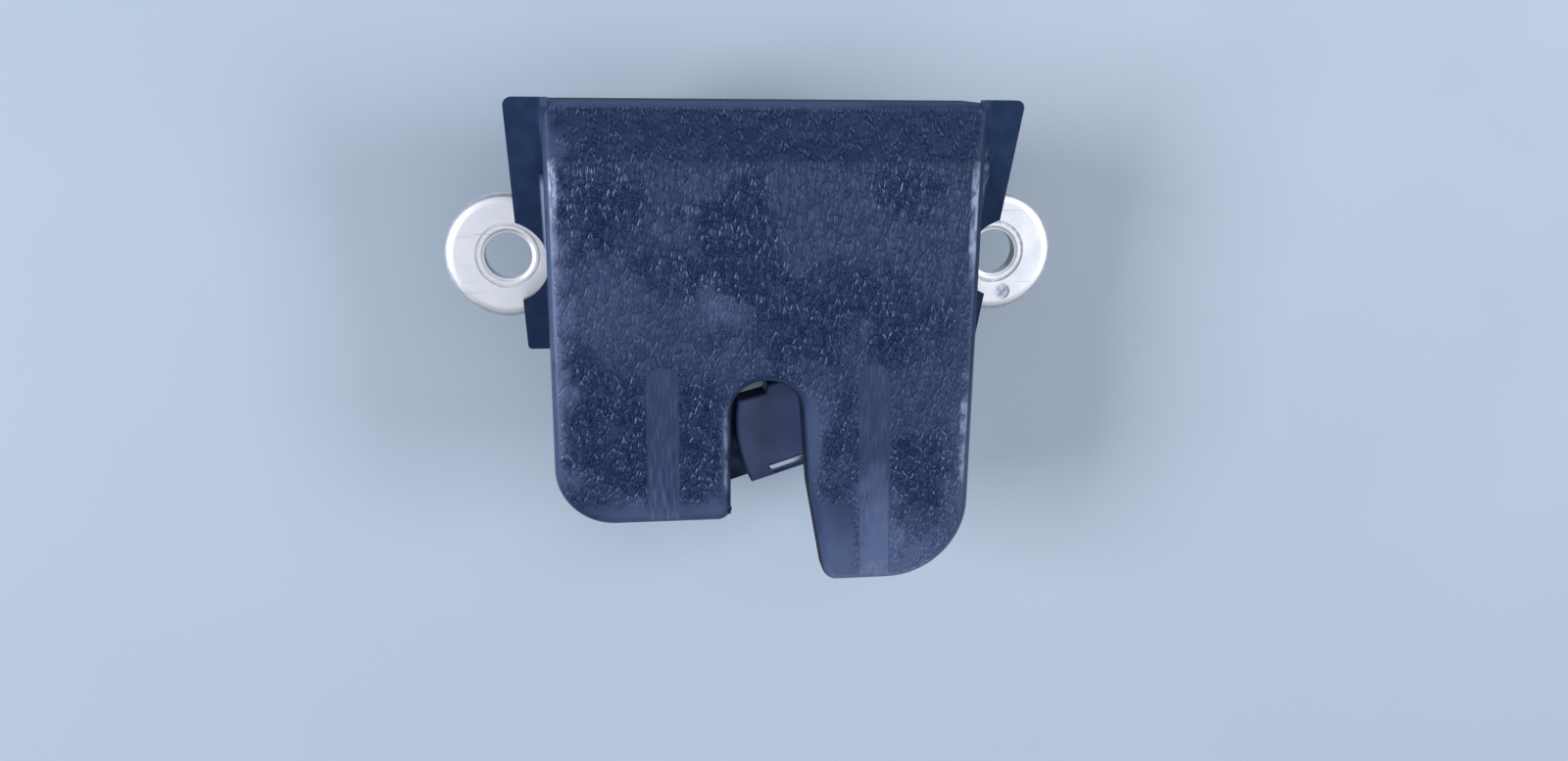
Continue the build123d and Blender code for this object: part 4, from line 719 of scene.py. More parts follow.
@dataclass(frozen=True)
class ZincPlate(Finish):
    """Bright zinc on stamped steel: soft cloudy shine, stray scratches and dull coined rings and dot; the
    rings by the holes are painted shade in the coined grooves.

    Attributes:
        scratch: Colour in the scratches, sRGB hex.
        scratches: The ways that they run, as the turn in radians and the closeness along their length.
        scratch_share: How much of the scratches' colour shows.
        mark_and_groove_shade: Colour of the dull rings and dot, and of the painted shade in the coined
            grooves, sRGB hex.
        marks_and_groove_shade: The rings and dot, as x, y, radius, half width and strength, in mm, a radius
            of 0 for a dot; the rings of 5.95 mm are painted shade in the coined grooves.
        hole_xs_mm: X of the two bolt holes.
        hole_lip_mm: Where the edge of a hole starts and stops to roll over, from its middle.
        rim_mm: Where the edge of an ear does.
        roll_mm: How far the punched edges are rolled over.
    """

    scratch: str = "76708A"
    scratches: Sequence[tuple[float, float]] = ((0.5, 0.9), (-0.9, 0.7), (1.35, 1.1))
    scratch_share: float = 0.35
    mark_and_groove_shade: str = "7C8096"
    marks_and_groove_shade: Sequence[Spot] = (
        (-47.6, 0.0, 5.95, 0.38, 0.2), (47.6, 0.0, 5.95, 0.38, 0.5), (50.0, -8.2, 0.0, 1.5, 0.75),
        (-47.6, 0.0, 11.6, 0.3, 0.25), (47.6, 0.0, 11.6, 0.3, 0.25),
    )
    hole_xs_mm: Sequence[float] = (-47.6, 47.6)
    hole_lip_mm: tuple[float, float] = (4.5, 5.3)
    rim_mm: tuple[float, float] = (10.0, 11.8)
    roll_mm: float = 0.4

    def paint(self, tree: Tree, shader: Node, place: Socket) -> None:
        """Feeds the shader with clouded zinc, scratches, dull rings with painted shade in the coined grooves,
        and rolled edges.

        Args:
            tree: The material's tree.
            shader: Its Principled shader.
            place: Object coordinates.
        """
        super().paint(tree, shader, place)
        lines = []
        for turn, stretch in self.scratches:
            # Drawn about 0.4 mm wide, far coarser than a real scratch, so that they show.
            local = add(tree, "ShaderNodeMapping", {0: place, 2: (0.0, 0.0, turn),
                                                    3: (90.0 * stretch, 2600.0, 90.0)}).outputs[0]
            drawn = add(tree, "ShaderNodeTexNoise", {"Vector": local, "Scale": 1.0, "Detail": 1.0}).outputs[0]
            shown = add(tree, "ShaderNodeMapRange", {0: drawn, 1: 0.7, 2: 0.78}).outputs[0]
            lines.append(Signal(tree, shown))
        base = shader.inputs["Base Color"].links[0].from_socket
        tone = (reduce(or_, lines) * self.scratch_share).lay(self.scratch, base)
        smudge = add(tree, "ShaderNodeTexNoise", {"Vector": place, "Scale": 900.0, "Detail": 3.0}).outputs[0]
        smudge = add(tree, "ShaderNodeMapRange", {0: smudge, 1: 0.3, 2: 0.6, 3: 0.3, 4: 1.0}).outputs[0]
        # The rings of 5.95 mm round the holes are painted shade in the coined grooves.
        for x, y, radius, half_w, strength in self.marks_and_groove_shade:
            off = abs(self.reach(tree, place, x, y) - radius * MM)
            near = add(tree, "ShaderNodeMapRange", {0: off, 1: half_w * 0.6 * MM, 2: half_w * 1.2 * MM,
                                                    3: strength, 4: 0.0}).outputs[0]
            tone = (Signal(tree, near) * Signal(tree, smudge)).lay(self.mark_and_groove_shade, tone)
        tree.links.new(tone, shader.inputs["Base Color"])
        normal = shader.inputs["Normal"].links[0].from_socket
        for x in self.hole_xs_mm:
            reach = self.reach(tree, place, x, 0.0)
            lip = reach.rise(*(limit * MM for limit in self.hole_lip_mm))
            rim = reach.rise(*(limit * MM for limit in self.rim_mm))
            normal = add(tree, "ShaderNodeBump", {
                "Strength": 1.0, "Distance": self.roll_mm * MM, "Height": lip * 0.5 - rim * 0.7,
                "Normal": normal}).outputs[0]
        tree.links.new(normal, shader.inputs["Normal"])

    def reach(self, tree: Tree, place: Socket, x: float, y: float) -> Signal:
        """Measures how far a point is from an upright line.

        Args:
            tree: The material's tree.
            place: Object coordinates.
            x: X of the line, in mm.
            y: Y of the line, in mm.

        Returns:
            The distance, in metres.
        """
        flat = add(tree, "ShaderNodeVectorMath", {0: place, 1: (1.0, 1.0, 0.0)},
                   operation="MULTIPLY").outputs[0]
        reach = add(tree, "ShaderNodeVectorMath", {0: flat, 1: (x * MM, y * MM, 0.0)}, operation="DISTANCE")
        return Signal(tree, reach.outputs["Value"])


@dataclass(frozen=True)
class RubbedSteel(Finish):
    """Black oxide on steel, worn to bare metal above a level.

    Attributes:
        bare: Colour of the bare metal, sRGB hex.
        bare_above_mm: Level above which the oxide is gone.
        bare_edge_mm: How far either side of it the oxide thins out.
        bare_roughness: Roughness of the bare metal.
    """

    bare: str = "B9BFD0"
    bare_above_mm: float = 10.45
    bare_edge_mm: float = 0.08
    bare_roughness: float = 0.24

    def paint(self, tree: Tree, shader: Node, place: Socket) -> None:
        """Feeds the shader with oxide and bare metal.

        Args:
            tree: The material's tree.
            shader: Its Principled shader.
            place: Object coordinates.
        """
        super().paint(tree, shader, place)
        level = add(tree, "ShaderNodeSeparateXYZ", {0: place}).outputs["Z"]
        share = add(tree, "ShaderNodeMapRange", {0: level, 1: (self.bare_above_mm - self.bare_edge_mm) * MM,
                                                 2: (self.bare_above_mm + self.bare_edge_mm) * MM}).outputs[0]
        oxide = shader.inputs["Base Color"].links[0].from_socket
        tree.links.new(Signal(tree, share).lay(self.bare, oxide), shader.inputs["Base Color"])
        rough = shader.inputs["Roughness"].links[0].from_socket
        rough = add(tree, "ShaderNodeMix", {0: share, 2: rough, 3: self.bare_roughness}).outputs[0]
        tree.links.new(rough, shader.inputs["Roughness"])


FINISHES: dict[str, Finish] = {
    # Polypropylene moulded against an etched tool: dull haze over leather grain, glossier where smooth.
    "grained_plastic": LeatherGrain("grained_polypropylene", "1C304F", "3A4869", 0.0, 0.35),
    # Glass-filled nylon from a spark-eroded mould: even, dry and slightly mottled.
    "housing_plastic": Finish("glass_filled_nylon", "1C2338", "20283F", 0.0, 0.55,
                              grain_mm=0.3, depth_mm=0.012, ior=1.53),
    # Acetal jacket from a polished mould: satin, with soft reflections.
    "jacket_plastic": Finish("black_acetal_jacket", "3D4C74", "354368", 0.0, 0.42,
                             grain_mm=0.25, depth_mm=0.003, ior=1.48),
    # Black nylon: a shade glossier than the housing.
    "nylon": Finish("black_nylon", "1F2434", "272D40", 0.0, 0.45, grain_mm=0.3, depth_mm=0.005, ior=1.53),
    # Moulded rubber: matt and very dark.
    "rubber": Finish("moulded_rubber", "15171F", "1E212B", 0.0, 0.78, grain_mm=0.2, depth_mm=0.01, ior=1.52),
    # Natural acetal: milky, with a waxy shine.
    "acetal": Finish("natural_acetal", "E4E2D8", "D8D5C8", 0.0, 0.35, grain_mm=0.5, depth_mm=0.003, ior=1.48),
    # Zinc on stamped sheet: pale, cloudy shine.
    "zinc": ZincPlate("zinc_plated_steel", "FDFBFA", "F5F4F5", 1.0, 0.5, 0.05, Relief.ROLLED_X,
                      grain_mm=0.25, depth_mm=0.003, patch_mm=5.0),
    # Passivated zinc on screws and rivets: yellowish cast.
    "screw_zinc": Finish("passivated_zinc", "C9C6C0", "A9A69E", 1.0, 0.3, 0.08, Relief.TURNED_Z,
                         grain_mm=0.3, depth_mm=0.004, patch_mm=2.5),
    # Ground steel pins and shafts: clean, sharp shine along the axis.
    "bright_steel": Finish("ground_steel", "C4C6CC", "AEB1B9", 1.0, 0.22, 0.05, Relief.TURNED_Z,
                           grain_mm=0.15, depth_mm=0.002, patch_mm=4.0),
    # Hardened steel with an oiled black oxide: dark, with a bluish shine.
    "black_steel": Finish("black_oxide_steel", "2C3346", "212738", 1.0, 0.38, 0.08, Relief.ROLLED_Y,
                          grain_mm=0.25, depth_mm=0.006, patch_mm=4.0),
    # The same oxide on the catch, worn bright on its rib by the striker.
    "catch_steel": RubbedSteel("rubbed_oxide_steel", "2C3346", "212738", 1.0, 0.38, 0.08, Relief.ROLLED_Y,
                               grain_mm=0.25, depth_mm=0.006, patch_mm=4.0),
    # Patented spring wire, drawn and oiled: grey with soft glints.
    "spring_steel": Finish("spring_wire", "8C8F98", "70737C", 1.0, 0.3, 0.06,
                           grain_mm=0.2, depth_mm=0.003, patch_mm=3.0),
    # Rolled brass thread: warm and polished by its wheel.
    "brass": Finish("rolled_brass", "D9B25F", "C59B49", 1.0, 0.25, 0.05, Relief.DRAWN_X,
                    grain_mm=0.2, depth_mm=0.003, patch_mm=3.0),
    # Tinned contact strip: pale grey and even.
    "tin": Finish("tinned_brass", "D5D3CE", "C2BFB8", 1.0, 0.28, 0.05, Relief.ROLLED_Y,
                  grain_mm=0.2, depth_mm=0.002, patch_mm=2.0),
    # Painted board of the table: even, pale blue, faintly clouded.
    "board": Finish("painted_board", "C1CCD5", "BDC9D3", 0.0, 0.5,
                    grain_mm=1.2, depth_mm=0.01, patch_mm=120.0),
}


@dataclass
class Dresser:
    """Builds each finish once and puts it on nodes.

    Attributes:
        made: The materials made so far, by the finish's key.
    """

    made: dict[str, bpy.types.Material] = field(default_factory=dict)

    def material(self, key: str) -> bpy.types.Material:
        """Finds the material of a finish, and makes it on first use.

        Args:
            key: The finish's key.

        Returns:
            The material.
        """
        if key not in self.made:
            self.made[key] = FINISHES[key].build()
        return self.made[key]

    def dress(self, node: str, key: str) -> None:
        """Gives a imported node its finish.

        Args:
            node: The node's name.
            key: The finish's key.
        """
        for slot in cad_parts[node].material_slots:
            slot.material = self.material(key)
        LOG.info("%s dressed in %s", node, key)


@dataclass
class CarriedNodes:
    """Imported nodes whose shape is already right.

    Attributes:
        nodes_of: The nodes of each finish.
    """

    nodes_of: dict[str, Sequence[str]] = field(default_factory=lambda: {
        "grained_plastic": ("front_cover",),
        "zinc": ("base_plate", "retainer_plate"),
        "rubber": ("striker_buffer", "housing_seal"),
        "catch_steel": ("catch_core",),
        "jacket_plastic": ("catch_jacket",),
        "screw_zinc": ("catch_pivot_rivet", "pawl_pivot_rivet", "spacer_rivet", "motor_can"),
        "spring_steel": ("catch_spring", "pawl_spring"),
        "black_steel": ("pawl_lever",),
        "nylon": ("pawl_pad", "switch_body"),
        "bright_steel": ("release_pin", "wheel_axle", "motor_shaft", "motor_rotor"),
        "housing_plastic": ("actuator_housing", "housing_lid"),
        "acetal": ("worm_wheel", "motor_end_cap", "switch_plunger"),
        "brass": ("worm",),
    })

    def dress(self, dresser: Dresser) -> None:
        """Gives every carried node its finish.

        Args:
            dresser: Who holds the finishes.
        """
        for key, nodes in self.nodes_of.items():
            for node in nodes:
                dresser.dress(node, key)


@dataclass
class Recipe:
    """A Geometry Nodes tree in the making, with a named input for each size.

    Attributes:
        name: The name of the tree and of the piece that it makes.
        sizes: The named inputs and their values: counts as whole numbers, lengths in metres
            and angles in radians.
        tree: The tree.
        keys: The identifier of each named input.
        start: The node that carries the inputs.
    """

    name: str
    sizes: dict[str, float]
    tree: Tree = field(init=False)
    keys: dict[str, str] = field(init=False, default_factory=dict)
    start: Node = field(init=False)

    def __post_init__(self) -> None:
        """Makes the empty tree with its inputs and its output."""
        self.tree = bpy.data.node_groups.new(self.name, "GeometryNodeTree")
        sockets = self.tree.interface
        sockets.new_socket("Geometry", in_out="INPUT", socket_type="NodeSocketGeometry")
        for label, value in self.sizes.items():
            kind = "NodeSocketInt" if isinstance(value, int) else "NodeSocketFloat"
            self.keys[label] = sockets.new_socket(label, in_out="INPUT", socket_type=kind).identifier
        sockets.new_socket("Geometry", in_out="OUTPUT", socket_type="NodeSocketGeometry")
        self.start = self.tree.nodes.new("NodeGroupInput")

    def points(self) -> Socket:
        """The points that the tree starts from."""
        return self.start.outputs["Geometry"]

    def size(self, label: str) -> Signal:
        """A named size."""
        return Signal(self.tree, self.start.outputs[label])

    def facing(self, axis: str) -> Signal:
        """How far each face looks along an axis."""
        normal = add(self.tree, "GeometryNodeInputNormal").outputs[0]
        return Signal(self.tree, add(self.tree, "ShaderNodeSeparateXYZ", {0: normal}).outputs[axis])

    def step(self, shape: Socket, face: Socket | Signal, rise: Signal | float,
             scale: Signal | float) -> tuple[Socket, Socket]:
        """Pulls a face out along its normal and then scales it.

        Args:
            shape: The shape so far.
            face: The selection of the face.
            rise: How far it is pulled out, less than 0 for a recess.
            scale: What it is scaled by afterwards.

        Returns:
            The new shape and the selection of the face at its end.
        """
        pulled = add(self.tree, "GeometryNodeExtrudeMesh", {
            "Mesh": shape, "Selection": face, "Offset Scale": rise, "Individual": False}, mode="FACES")
        scaled = add(self.tree, "GeometryNodeScaleElements",
                     {"Geometry": pulled.outputs["Mesh"], "Selection": pulled.outputs["Top"], "Scale": scale},
                     domain="FACE")
        return scaled.outputs[0], pulled.outputs["Top"]

    def bake(self, shape: Socket, plan: bpy.types.Mesh, material: bpy.types.Material,
             body: str, stands_for: str | None = None) -> bpy.types.Object:
        """Ends the tree, turns its result into a plain mesh and hands the piece to the frame.

        Args:
            shape: What the tree makes, which may hold instances.
            plan: The points that the tree starts from.
            material: The finish of the piece.
            body: The body that it rides on.
            stands_for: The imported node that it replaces, if any.

        Returns:
            The finished piece.
        """
        real = add(self.tree, "GeometryNodeRealizeInstances", {0: shape}).outputs[0]
        dressed = add(self.tree, "GeometryNodeSetMaterial",
                      {"Geometry": real, "Material": material}).outputs[0]
        end = self.tree.nodes.new("NodeGroupOutput")
        self.tree.links.new(dressed, end.inputs[0])
        holder = bpy.data.objects.new(f"{self.name}_plan", plan)
        bpy.context.scene.collection.objects.link(holder)
        modifier = holder.modifiers.new(self.name, "NODES")
        modifier.node_group = self.tree
        for label, value in self.sizes.items():
            modifier[self.keys[label]] = value
        graph = bpy.context.evaluated_depsgraph_get()
        mesh = bpy.data.meshes.new_from_object(holder.evaluated_get(graph), depsgraph=graph)
        holder.modifiers.remove(modifier)
        bpy.data.objects.remove(holder)
        mesh.name = self.name
        mesh.shade_smooth()
        mesh.set_sharp_from_angle(angle=radians(30))
        piece = bpy.data.objects.new(self.name, mesh)
        bpy.context.scene.collection.objects.link(piece)
        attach(piece, body)
        if stands_for:
            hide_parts(stands_for)
        LOG.info("%s made, %d faces", self.name, len(mesh.polygons))
        return piece


def plan_of(name: str, points: Sequence[Point], turns: Sequence[float] = ()) -> bpy.types.Mesh:
    """Makes a mesh of loose points for a tree to start from.

    Args:
        name: The mesh's name.
        points: The points, in millimetres.
        turns: A turn about Z for each point, in radians, kept as the attribute "turn".

    Returns:
        The mesh.
    """
    mesh = bpy.data.meshes.new(name)
    mesh.from_pydata([tuple(c * MM for c in point) for point in points], [], [])
    if turns:
        mesh.attributes.new("turn", "FLOAT", "POINT").data.foreach_set("value", turns)
    return mesh


@dataclass
class Screws:
    """Pan-head screws of one length: a domed head with a cross recess, and a rolled thread.

    Attributes:
        node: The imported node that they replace, which also names the piece.
        places: X and Y of each screw, in mm.
        seat_mm: The level on which the heads sit.
        length_mm: Length under the head.
        head_down: True when the heads are below the seat.
        seed: Seed of the turn at which each screw came to rest.
        head_r_mm: Radius of the head.
        head_t_mm: Height of the head.
        dome: The head's steps over its rim, as share of the height and what the face shrinks to.
        thread_r_mm: Radius over the thread.
        ridge_mm: Height of the thread's ridge.
        pitch_mm: Pitch of the thread.
        recess_r_mm: Radius of the cross recess.
        recess_depth_mm: Depth of the cross recess.
        recess_star: How far the recess's arms reach out past its radius, as a share of it.
        recess_taper: What the recess narrows to at its bottom.
        tip_mm: Length of the drawn-in tip.
        tip_taper: What the tip narrows to.
    """

    node: str
    places: Sequence[tuple[float, float]]
    seat_mm: float
    length_mm: float
    head_down: bool
    seed: int
    head_r_mm: float = 2.48
    head_t_mm: float = 1.48
    dome: Sequence[tuple[float, float]] = ((0.34, 0.93), (0.16, 0.86))
    thread_r_mm: float = 1.28
    ridge_mm: float = 0.26
    pitch_mm: float = 1.0
    recess_r_mm: float = 0.84
    recess_depth_mm: float = 0.85
    recess_star: float = 0.42
    recess_taper: float = 0.6
    tip_mm: float = 0.9
    tip_taper: float = 0.55

    def build(self, dresser: Dresser) -> None:
        """Makes the screws.

        Args:
            dresser: Who holds the finishes.
        """
        recipe = Recipe(self.node.replace("screws", "pan_screws"), {
            "Head Radius": self.head_r_mm * MM, "Head Height": self.head_t_mm * MM,
            "Recess Radius": self.recess_r_mm * MM, "Recess Depth": self.recess_depth_mm * MM,
            "Core Radius": (self.thread_r_mm - self.ridge_mm) * MM, "Ridge": self.ridge_mm * MM,
            "Pitch": self.pitch_mm * MM, "Length": self.length_mm * MM, "Tip": self.tip_mm * MM,
            "Flip": pi if self.head_down else 0.0, "Seed": self.seed,
        })
        parts = [self.head(recipe), self.shank(recipe), self.thread(recipe)]
        screw = add(recipe.tree, "GeometryNodeJoinGeometry", {0: parts}).outputs[0]
        screw = add(recipe.tree, "GeometryNodeTransform",
                    {"Geometry": screw, "Rotation": (recipe.size("Flip"), 0.0, 0.0)}).outputs[0]
        spin = add(recipe.tree, "FunctionNodeRandomValue", {2: 0.0, 3: 2 * pi, "Seed": recipe.size("Seed")},
                   data_type="FLOAT").outputs[1]
        placed = add(recipe.tree, "GeometryNodeInstanceOnPoints",
                     {"Points": recipe.points(), "Instance": screw,
                      "Rotation": (0.0, 0.0, Signal(recipe.tree, spin))}).outputs[0]
        plan = plan_of(self.node, [(x, y, self.seat_mm) for x, y in self.places])
        recipe.bake(placed, plan, dresser.material("screw_zinc"), "lock_frame",
                    self.node)

    def head(self, recipe: Recipe) -> Socket:
        """Makes the domed head over its seat, with the cross recess.

        Args:
            recipe: The screws' tree.

        Returns:
            The head.
        """
        height, top_r = recipe.size("Head Height"), recipe.size("Head Radius")
        rim = height * 0.5
        disc = add(recipe.tree, "GeometryNodeMeshCylinder", {"Vertices": 48, "Radius": top_r, "Depth": rim},
                   fill_type="NGON")
        shape = add(recipe.tree, "GeometryNodeTransform",
                    {"Geometry": disc.outputs["Mesh"], "Translation": (0.0, 0.0, rim * 0.5)}).outputs[0]
        face = disc.outputs["Top"]
        for share, scale in self.dome:
            shape, face = recipe.step(shape, face, height * share, scale)
            top_r = top_r * scale
        shape, face = recipe.step(shape, face, 0.0, recipe.size("Recess Radius") / top_r)
        place = add(recipe.tree, "GeometryNodeInputPosition").outputs[0]
        axes = add(recipe.tree, "ShaderNodeSeparateXYZ", {0: place}).outputs
        x, y, z = (Signal(recipe.tree, axis) for axis in axes)
        lobe = (y.reckon("ARCTAN2", x) * 4.0).reckon("COSINE") * self.recess_star + 1.0
        shape = add(recipe.tree, "GeometryNodeSetPosition",
                    {"Geometry": shape, "Selection": face, "Position": (x * lobe, y * lobe, z)}).outputs[0]
        return recipe.step(shape, face, recipe.size("Recess Depth") * -1.0, self.recess_taper)[0]

    def shank(self, recipe: Recipe) -> Socket:
        """Makes the core under the head, drawn in at its tip.

        Args:
            recipe: The screws' tree.

        Returns:
            The core.
        """
        straight = recipe.size("Length") - recipe.size("Tip")
        core = add(recipe.tree, "GeometryNodeMeshCylinder", {
            "Vertices": 24, "Radius": recipe.size("Core Radius"), "Depth": straight}, fill_type="NGON")
        shape = add(recipe.tree, "GeometryNodeTransform",
                    {"Geometry": core.outputs["Mesh"], "Translation": (0.0, 0.0, straight * -0.5)}).outputs[0]
        return recipe.step(shape, core.outputs["Bottom"], recipe.size("Tip"), self.tip_taper)[0]

    def thread(self, recipe: Recipe) -> Socket:
        """Makes the ridge that winds round the core.

        Args:
            recipe: The screws' tree.

        Returns:
            The ridge.
        """
        wound, core_r = recipe.size("Length") - recipe.size("Tip"), recipe.size("Core Radius")
        spiral = add(recipe.tree, "GeometryNodeCurveSpiral",
                     {"Resolution": 20, "Rotations": wound / recipe.size("Pitch"), "Start Radius": core_r,
                      "End Radius": core_r, "Height": wound}).outputs[0]
        ridge = add(recipe.tree, "GeometryNodeCurvePrimitiveCircle",
                    {"Resolution": 4, "Radius": recipe.size("Ridge")}, mode="RADIUS").outputs[0]
        shape = add(recipe.tree, "GeometryNodeCurveToMesh",
                    {"Curve": spiral, "Profile Curve": ridge, "Fill Caps": True}).outputs[0]
        low = recipe.size("Ridge") * -0.5 - wound
        return add(recipe.tree, "GeometryNodeTransform",
                   {"Geometry": shape, "Translation": (0.0, 0.0, low)}).outputs[0]


@dataclass
class ConnectorPins:
    """The row of flat pins in the connector, drawn in at the end that the plug meets.

    Attributes:
        count: How many there are.
        middle_mm: Where the middle of the row starts.
        pitch_mm: From one pin to the next.
        width_mm: Width of a pin.
        thickness_mm: Its thickness.
        length_mm: Its length without the tip.
        tip_mm: Length of the tip.
        tip_share: What the tip narrows to.
    """

    count: int = 4
    middle_mm: Point = (23.0, -29.2, -14.5)
    pitch_mm: float = 3.6
    width_mm: float = 1.2
    thickness_mm: float = 0.6
    length_mm: float = 10.2
    tip_mm: float = 0.8
    tip_share: float = 0.4

    def build(self, dresser: Dresser) -> None:
        """Makes the pins.

        Args:
            dresser: Who holds the finishes.
        """
        recipe = Recipe("connector_pins", {
            "Count": self.count, "Pitch": self.pitch_mm * MM, "Width": self.width_mm * MM,
            "Thickness": self.thickness_mm * MM, "Length": self.length_mm * MM, "Tip": self.tip_mm * MM,
        })
        length, pitch = recipe.size("Length"), recipe.size("Pitch")
        blade = add(recipe.tree, "GeometryNodeMeshCube",
                    {"Size": (recipe.size("Width"), length, recipe.size("Thickness"))}).outputs[0]
        blade = add(recipe.tree, "GeometryNodeTransform",
                    {"Geometry": blade, "Translation": (0.0, length * 0.5, 0.0)}).outputs[0]
        front = recipe.facing("Y").reckon("LESS_THAN", -0.5)
        blade, _ = recipe.step(blade, front, recipe.size("Tip"), self.tip_share)
        row = add(recipe.tree, "GeometryNodeMeshLine",
                  {"Count": recipe.size("Count"), "Offset": (pitch, 0.0, 0.0)}, mode="OFFSET").outputs[0]
        placed = add(recipe.tree, "GeometryNodeInstanceOnPoints",
                     {"Points": row, "Instance": blade}).outputs[0]
        middle = Vector(self.middle_mm) * MM
        first = (recipe.size("Count") - 1.0) * -0.5 * pitch + middle.x
        shape = add(recipe.tree, "GeometryNodeTransform",
                    {"Geometry": placed, "Translation": (first, middle.y, middle.z)}).outputs[0]
        recipe.bake(shape, plan_of("connector_pins", []), dresser.material("tin"), "lock_frame",
                    "contact_pins")


@dataclass
class HousingRibs:
    """Upright ribs that stiffen three walls of the tub on the back.

    Attributes:
        side_x_mm: Where the two side walls stand, either side of the middle.
        top_y_mm: Where the top wall stands.
        side_ys_mm: Y of the ribs on each side wall.
        top_xs_mm: X of the ribs on the top wall.
        middle_z_mm: Level of their middle.
        height_mm: How tall they are.
        thickness_mm: How thick they are.
        proud_mm: How far they stand out.
        root_mm: How far they reach into the wall.
        crown_mm: Height of their narrowed crown.
        crown_share: What the crown narrows to.
    """

    side_x_mm: float = 38.0
    top_y_mm: float = 24.5
    side_ys_mm: Sequence[float] = (-15.0, -8.0, -1.0, 6.0, 13.0)
    top_xs_mm: Sequence[float] = (-28.0, -20.0, -12.0, -4.0, 4.0, 12.0, 20.0, 28.0)
    middle_z_mm: float = -14.6
    height_mm: float = 15.0
    thickness_mm: float = 1.3
    proud_mm: float = 0.5
    root_mm: float = 0.3
    crown_mm: float = 0.3
    crown_share: float = 0.88

    def build(self, dresser: Dresser) -> None:
        """Makes the ribs.

        Args:
            dresser: Who holds the finishes.
        """
        recipe = Recipe("housing_ribs", {
            "Height": self.height_mm * MM, "Thickness": self.thickness_mm * MM, "Proud": self.proud_mm * MM,
            "Root": self.root_mm * MM, "Crown": self.crown_mm * MM,
        })
        proud, root = recipe.size("Proud"), recipe.size("Root")
        rib = add(recipe.tree, "GeometryNodeMeshCube",
                  {"Size": (proud + root, recipe.size("Thickness"), recipe.size("Height"))}).outputs[0]
        rib = add(recipe.tree, "GeometryNodeTransform",
                  {"Geometry": rib, "Translation": ((proud - root) * 0.5, 0.0, 0.0)}).outputs[0]
        outer = recipe.facing("X").reckon("GREATER_THAN", 0.5)
        rib, _ = recipe.step(rib, outer, recipe.size("Crown"), self.crown_share)
        turn = add(recipe.tree, "GeometryNodeInputNamedAttribute", {"Name": "turn"},
                   data_type="FLOAT").outputs[0]
        placed = add(recipe.tree, "GeometryNodeInstanceOnPoints",
                     {"Points": recipe.points(), "Instance": rib,
                      "Rotation": (0.0, 0.0, Signal(recipe.tree, turn))}).outputs[0]
        points, turns = [], []
        for side, turned in ((1, 0.0), (-1, pi)):
            points += [(side * self.side_x_mm, y, self.middle_z_mm) for y in self.side_ys_mm]
            turns += [turned] * len(self.side_ys_mm)
        points += [(x, self.top_y_mm, self.middle_z_mm) for x in self.top_xs_mm]
        turns += [pi / 2] * len(self.top_xs_mm)
        recipe.bake(placed, plan_of("housing_ribs", points, turns), dresser.material("housing_plastic"),
                    "lock_frame")


@dataclass
class TornFlash:
    """A torn crumb of flash at the corner where the left lobe meets the slot.

    Attributes:
        middle_mm: Its middle.
        half_mm: Half of its size along X, Y and Z.
        rough: How lumpy it is, as a share of its size.
        lump: How many lumps there are to its half size.
    """

    middle_mm: Point = (-6.95, -46.1, 18.0)
    half_mm: Point = (0.42, 0.95, 0.7)
    rough: float = 0.55
    lump: float = 1.9

    def build(self, dresser: Dresser) -> None:
        """Makes the crumb.

        Args:
            dresser: Who holds the finishes.
        """
        shape = bmesh.new()
        bmesh.ops.create_icosphere(shape, subdivisions=3, radius=1.0)
        for vertex in shape.verts:
            bulge = 1.0 + self.rough * noise.fractal(vertex.co * self.lump, 1.0, 2.0, 3)
            place = [c * h * bulge for c, h in zip(vertex.co, self.half_mm)]
            vertex.co = (Vector(place) + Vector(self.middle_mm)) * MM
        mesh = bpy.data.meshes.new("torn_flash")
        shape.to_mesh(mesh)
        shape.free()
        mesh.materials.append(dresser.material("nylon"))
        piece = bpy.data.objects.new("torn_flash", mesh)
        bpy.context.scene.collection.objects.link(piece)
        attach(piece, "lock_frame")
        LOG.info("torn_flash made, %d faces", len(mesh.polygons))


@dataclass
class Fixings:
    """Every screw of the lock.

    Attributes:
        lid: The screws of the lid.
        housing: The screws that hold the tub to the plate.
        cover: The screws of the cover.
    """

    lid: Screws = field(default_factory=lambda: Screws(
        "lid_screws", ((-33.6, -19.6), (-33.6, -1.5), (33.6, -19.6), (33.6, -1.5), (33.6, 20.1),
                       (-14.0, -19.6)),
        seat_mm=-26.5, length_mm=11.3, head_down=True, seed=3))
    housing: Screws = field(default_factory=lambda: Screws(
        "housing_screws", ((-7.0, 20.2), (31.0, 18.6), (-24.0, -14.0), (27.0, -12.0)),
        seat_mm=0.0, length_mm=8.5, head_down=False, seed=5))
    cover: Screws = field(default_factory=lambda: Screws(
        "cover_screws", ((-31.5, -34.0), (35.0, -49.6)),
        seat_mm=-3.0, length_mm=11.0, head_down=True, seed=8))

    def build(self, dresser: Dresser) -> None:
        """Makes all three kinds."""
        for screws in (self.lid, self.housing, self.cover):
            screws.build(dresser)


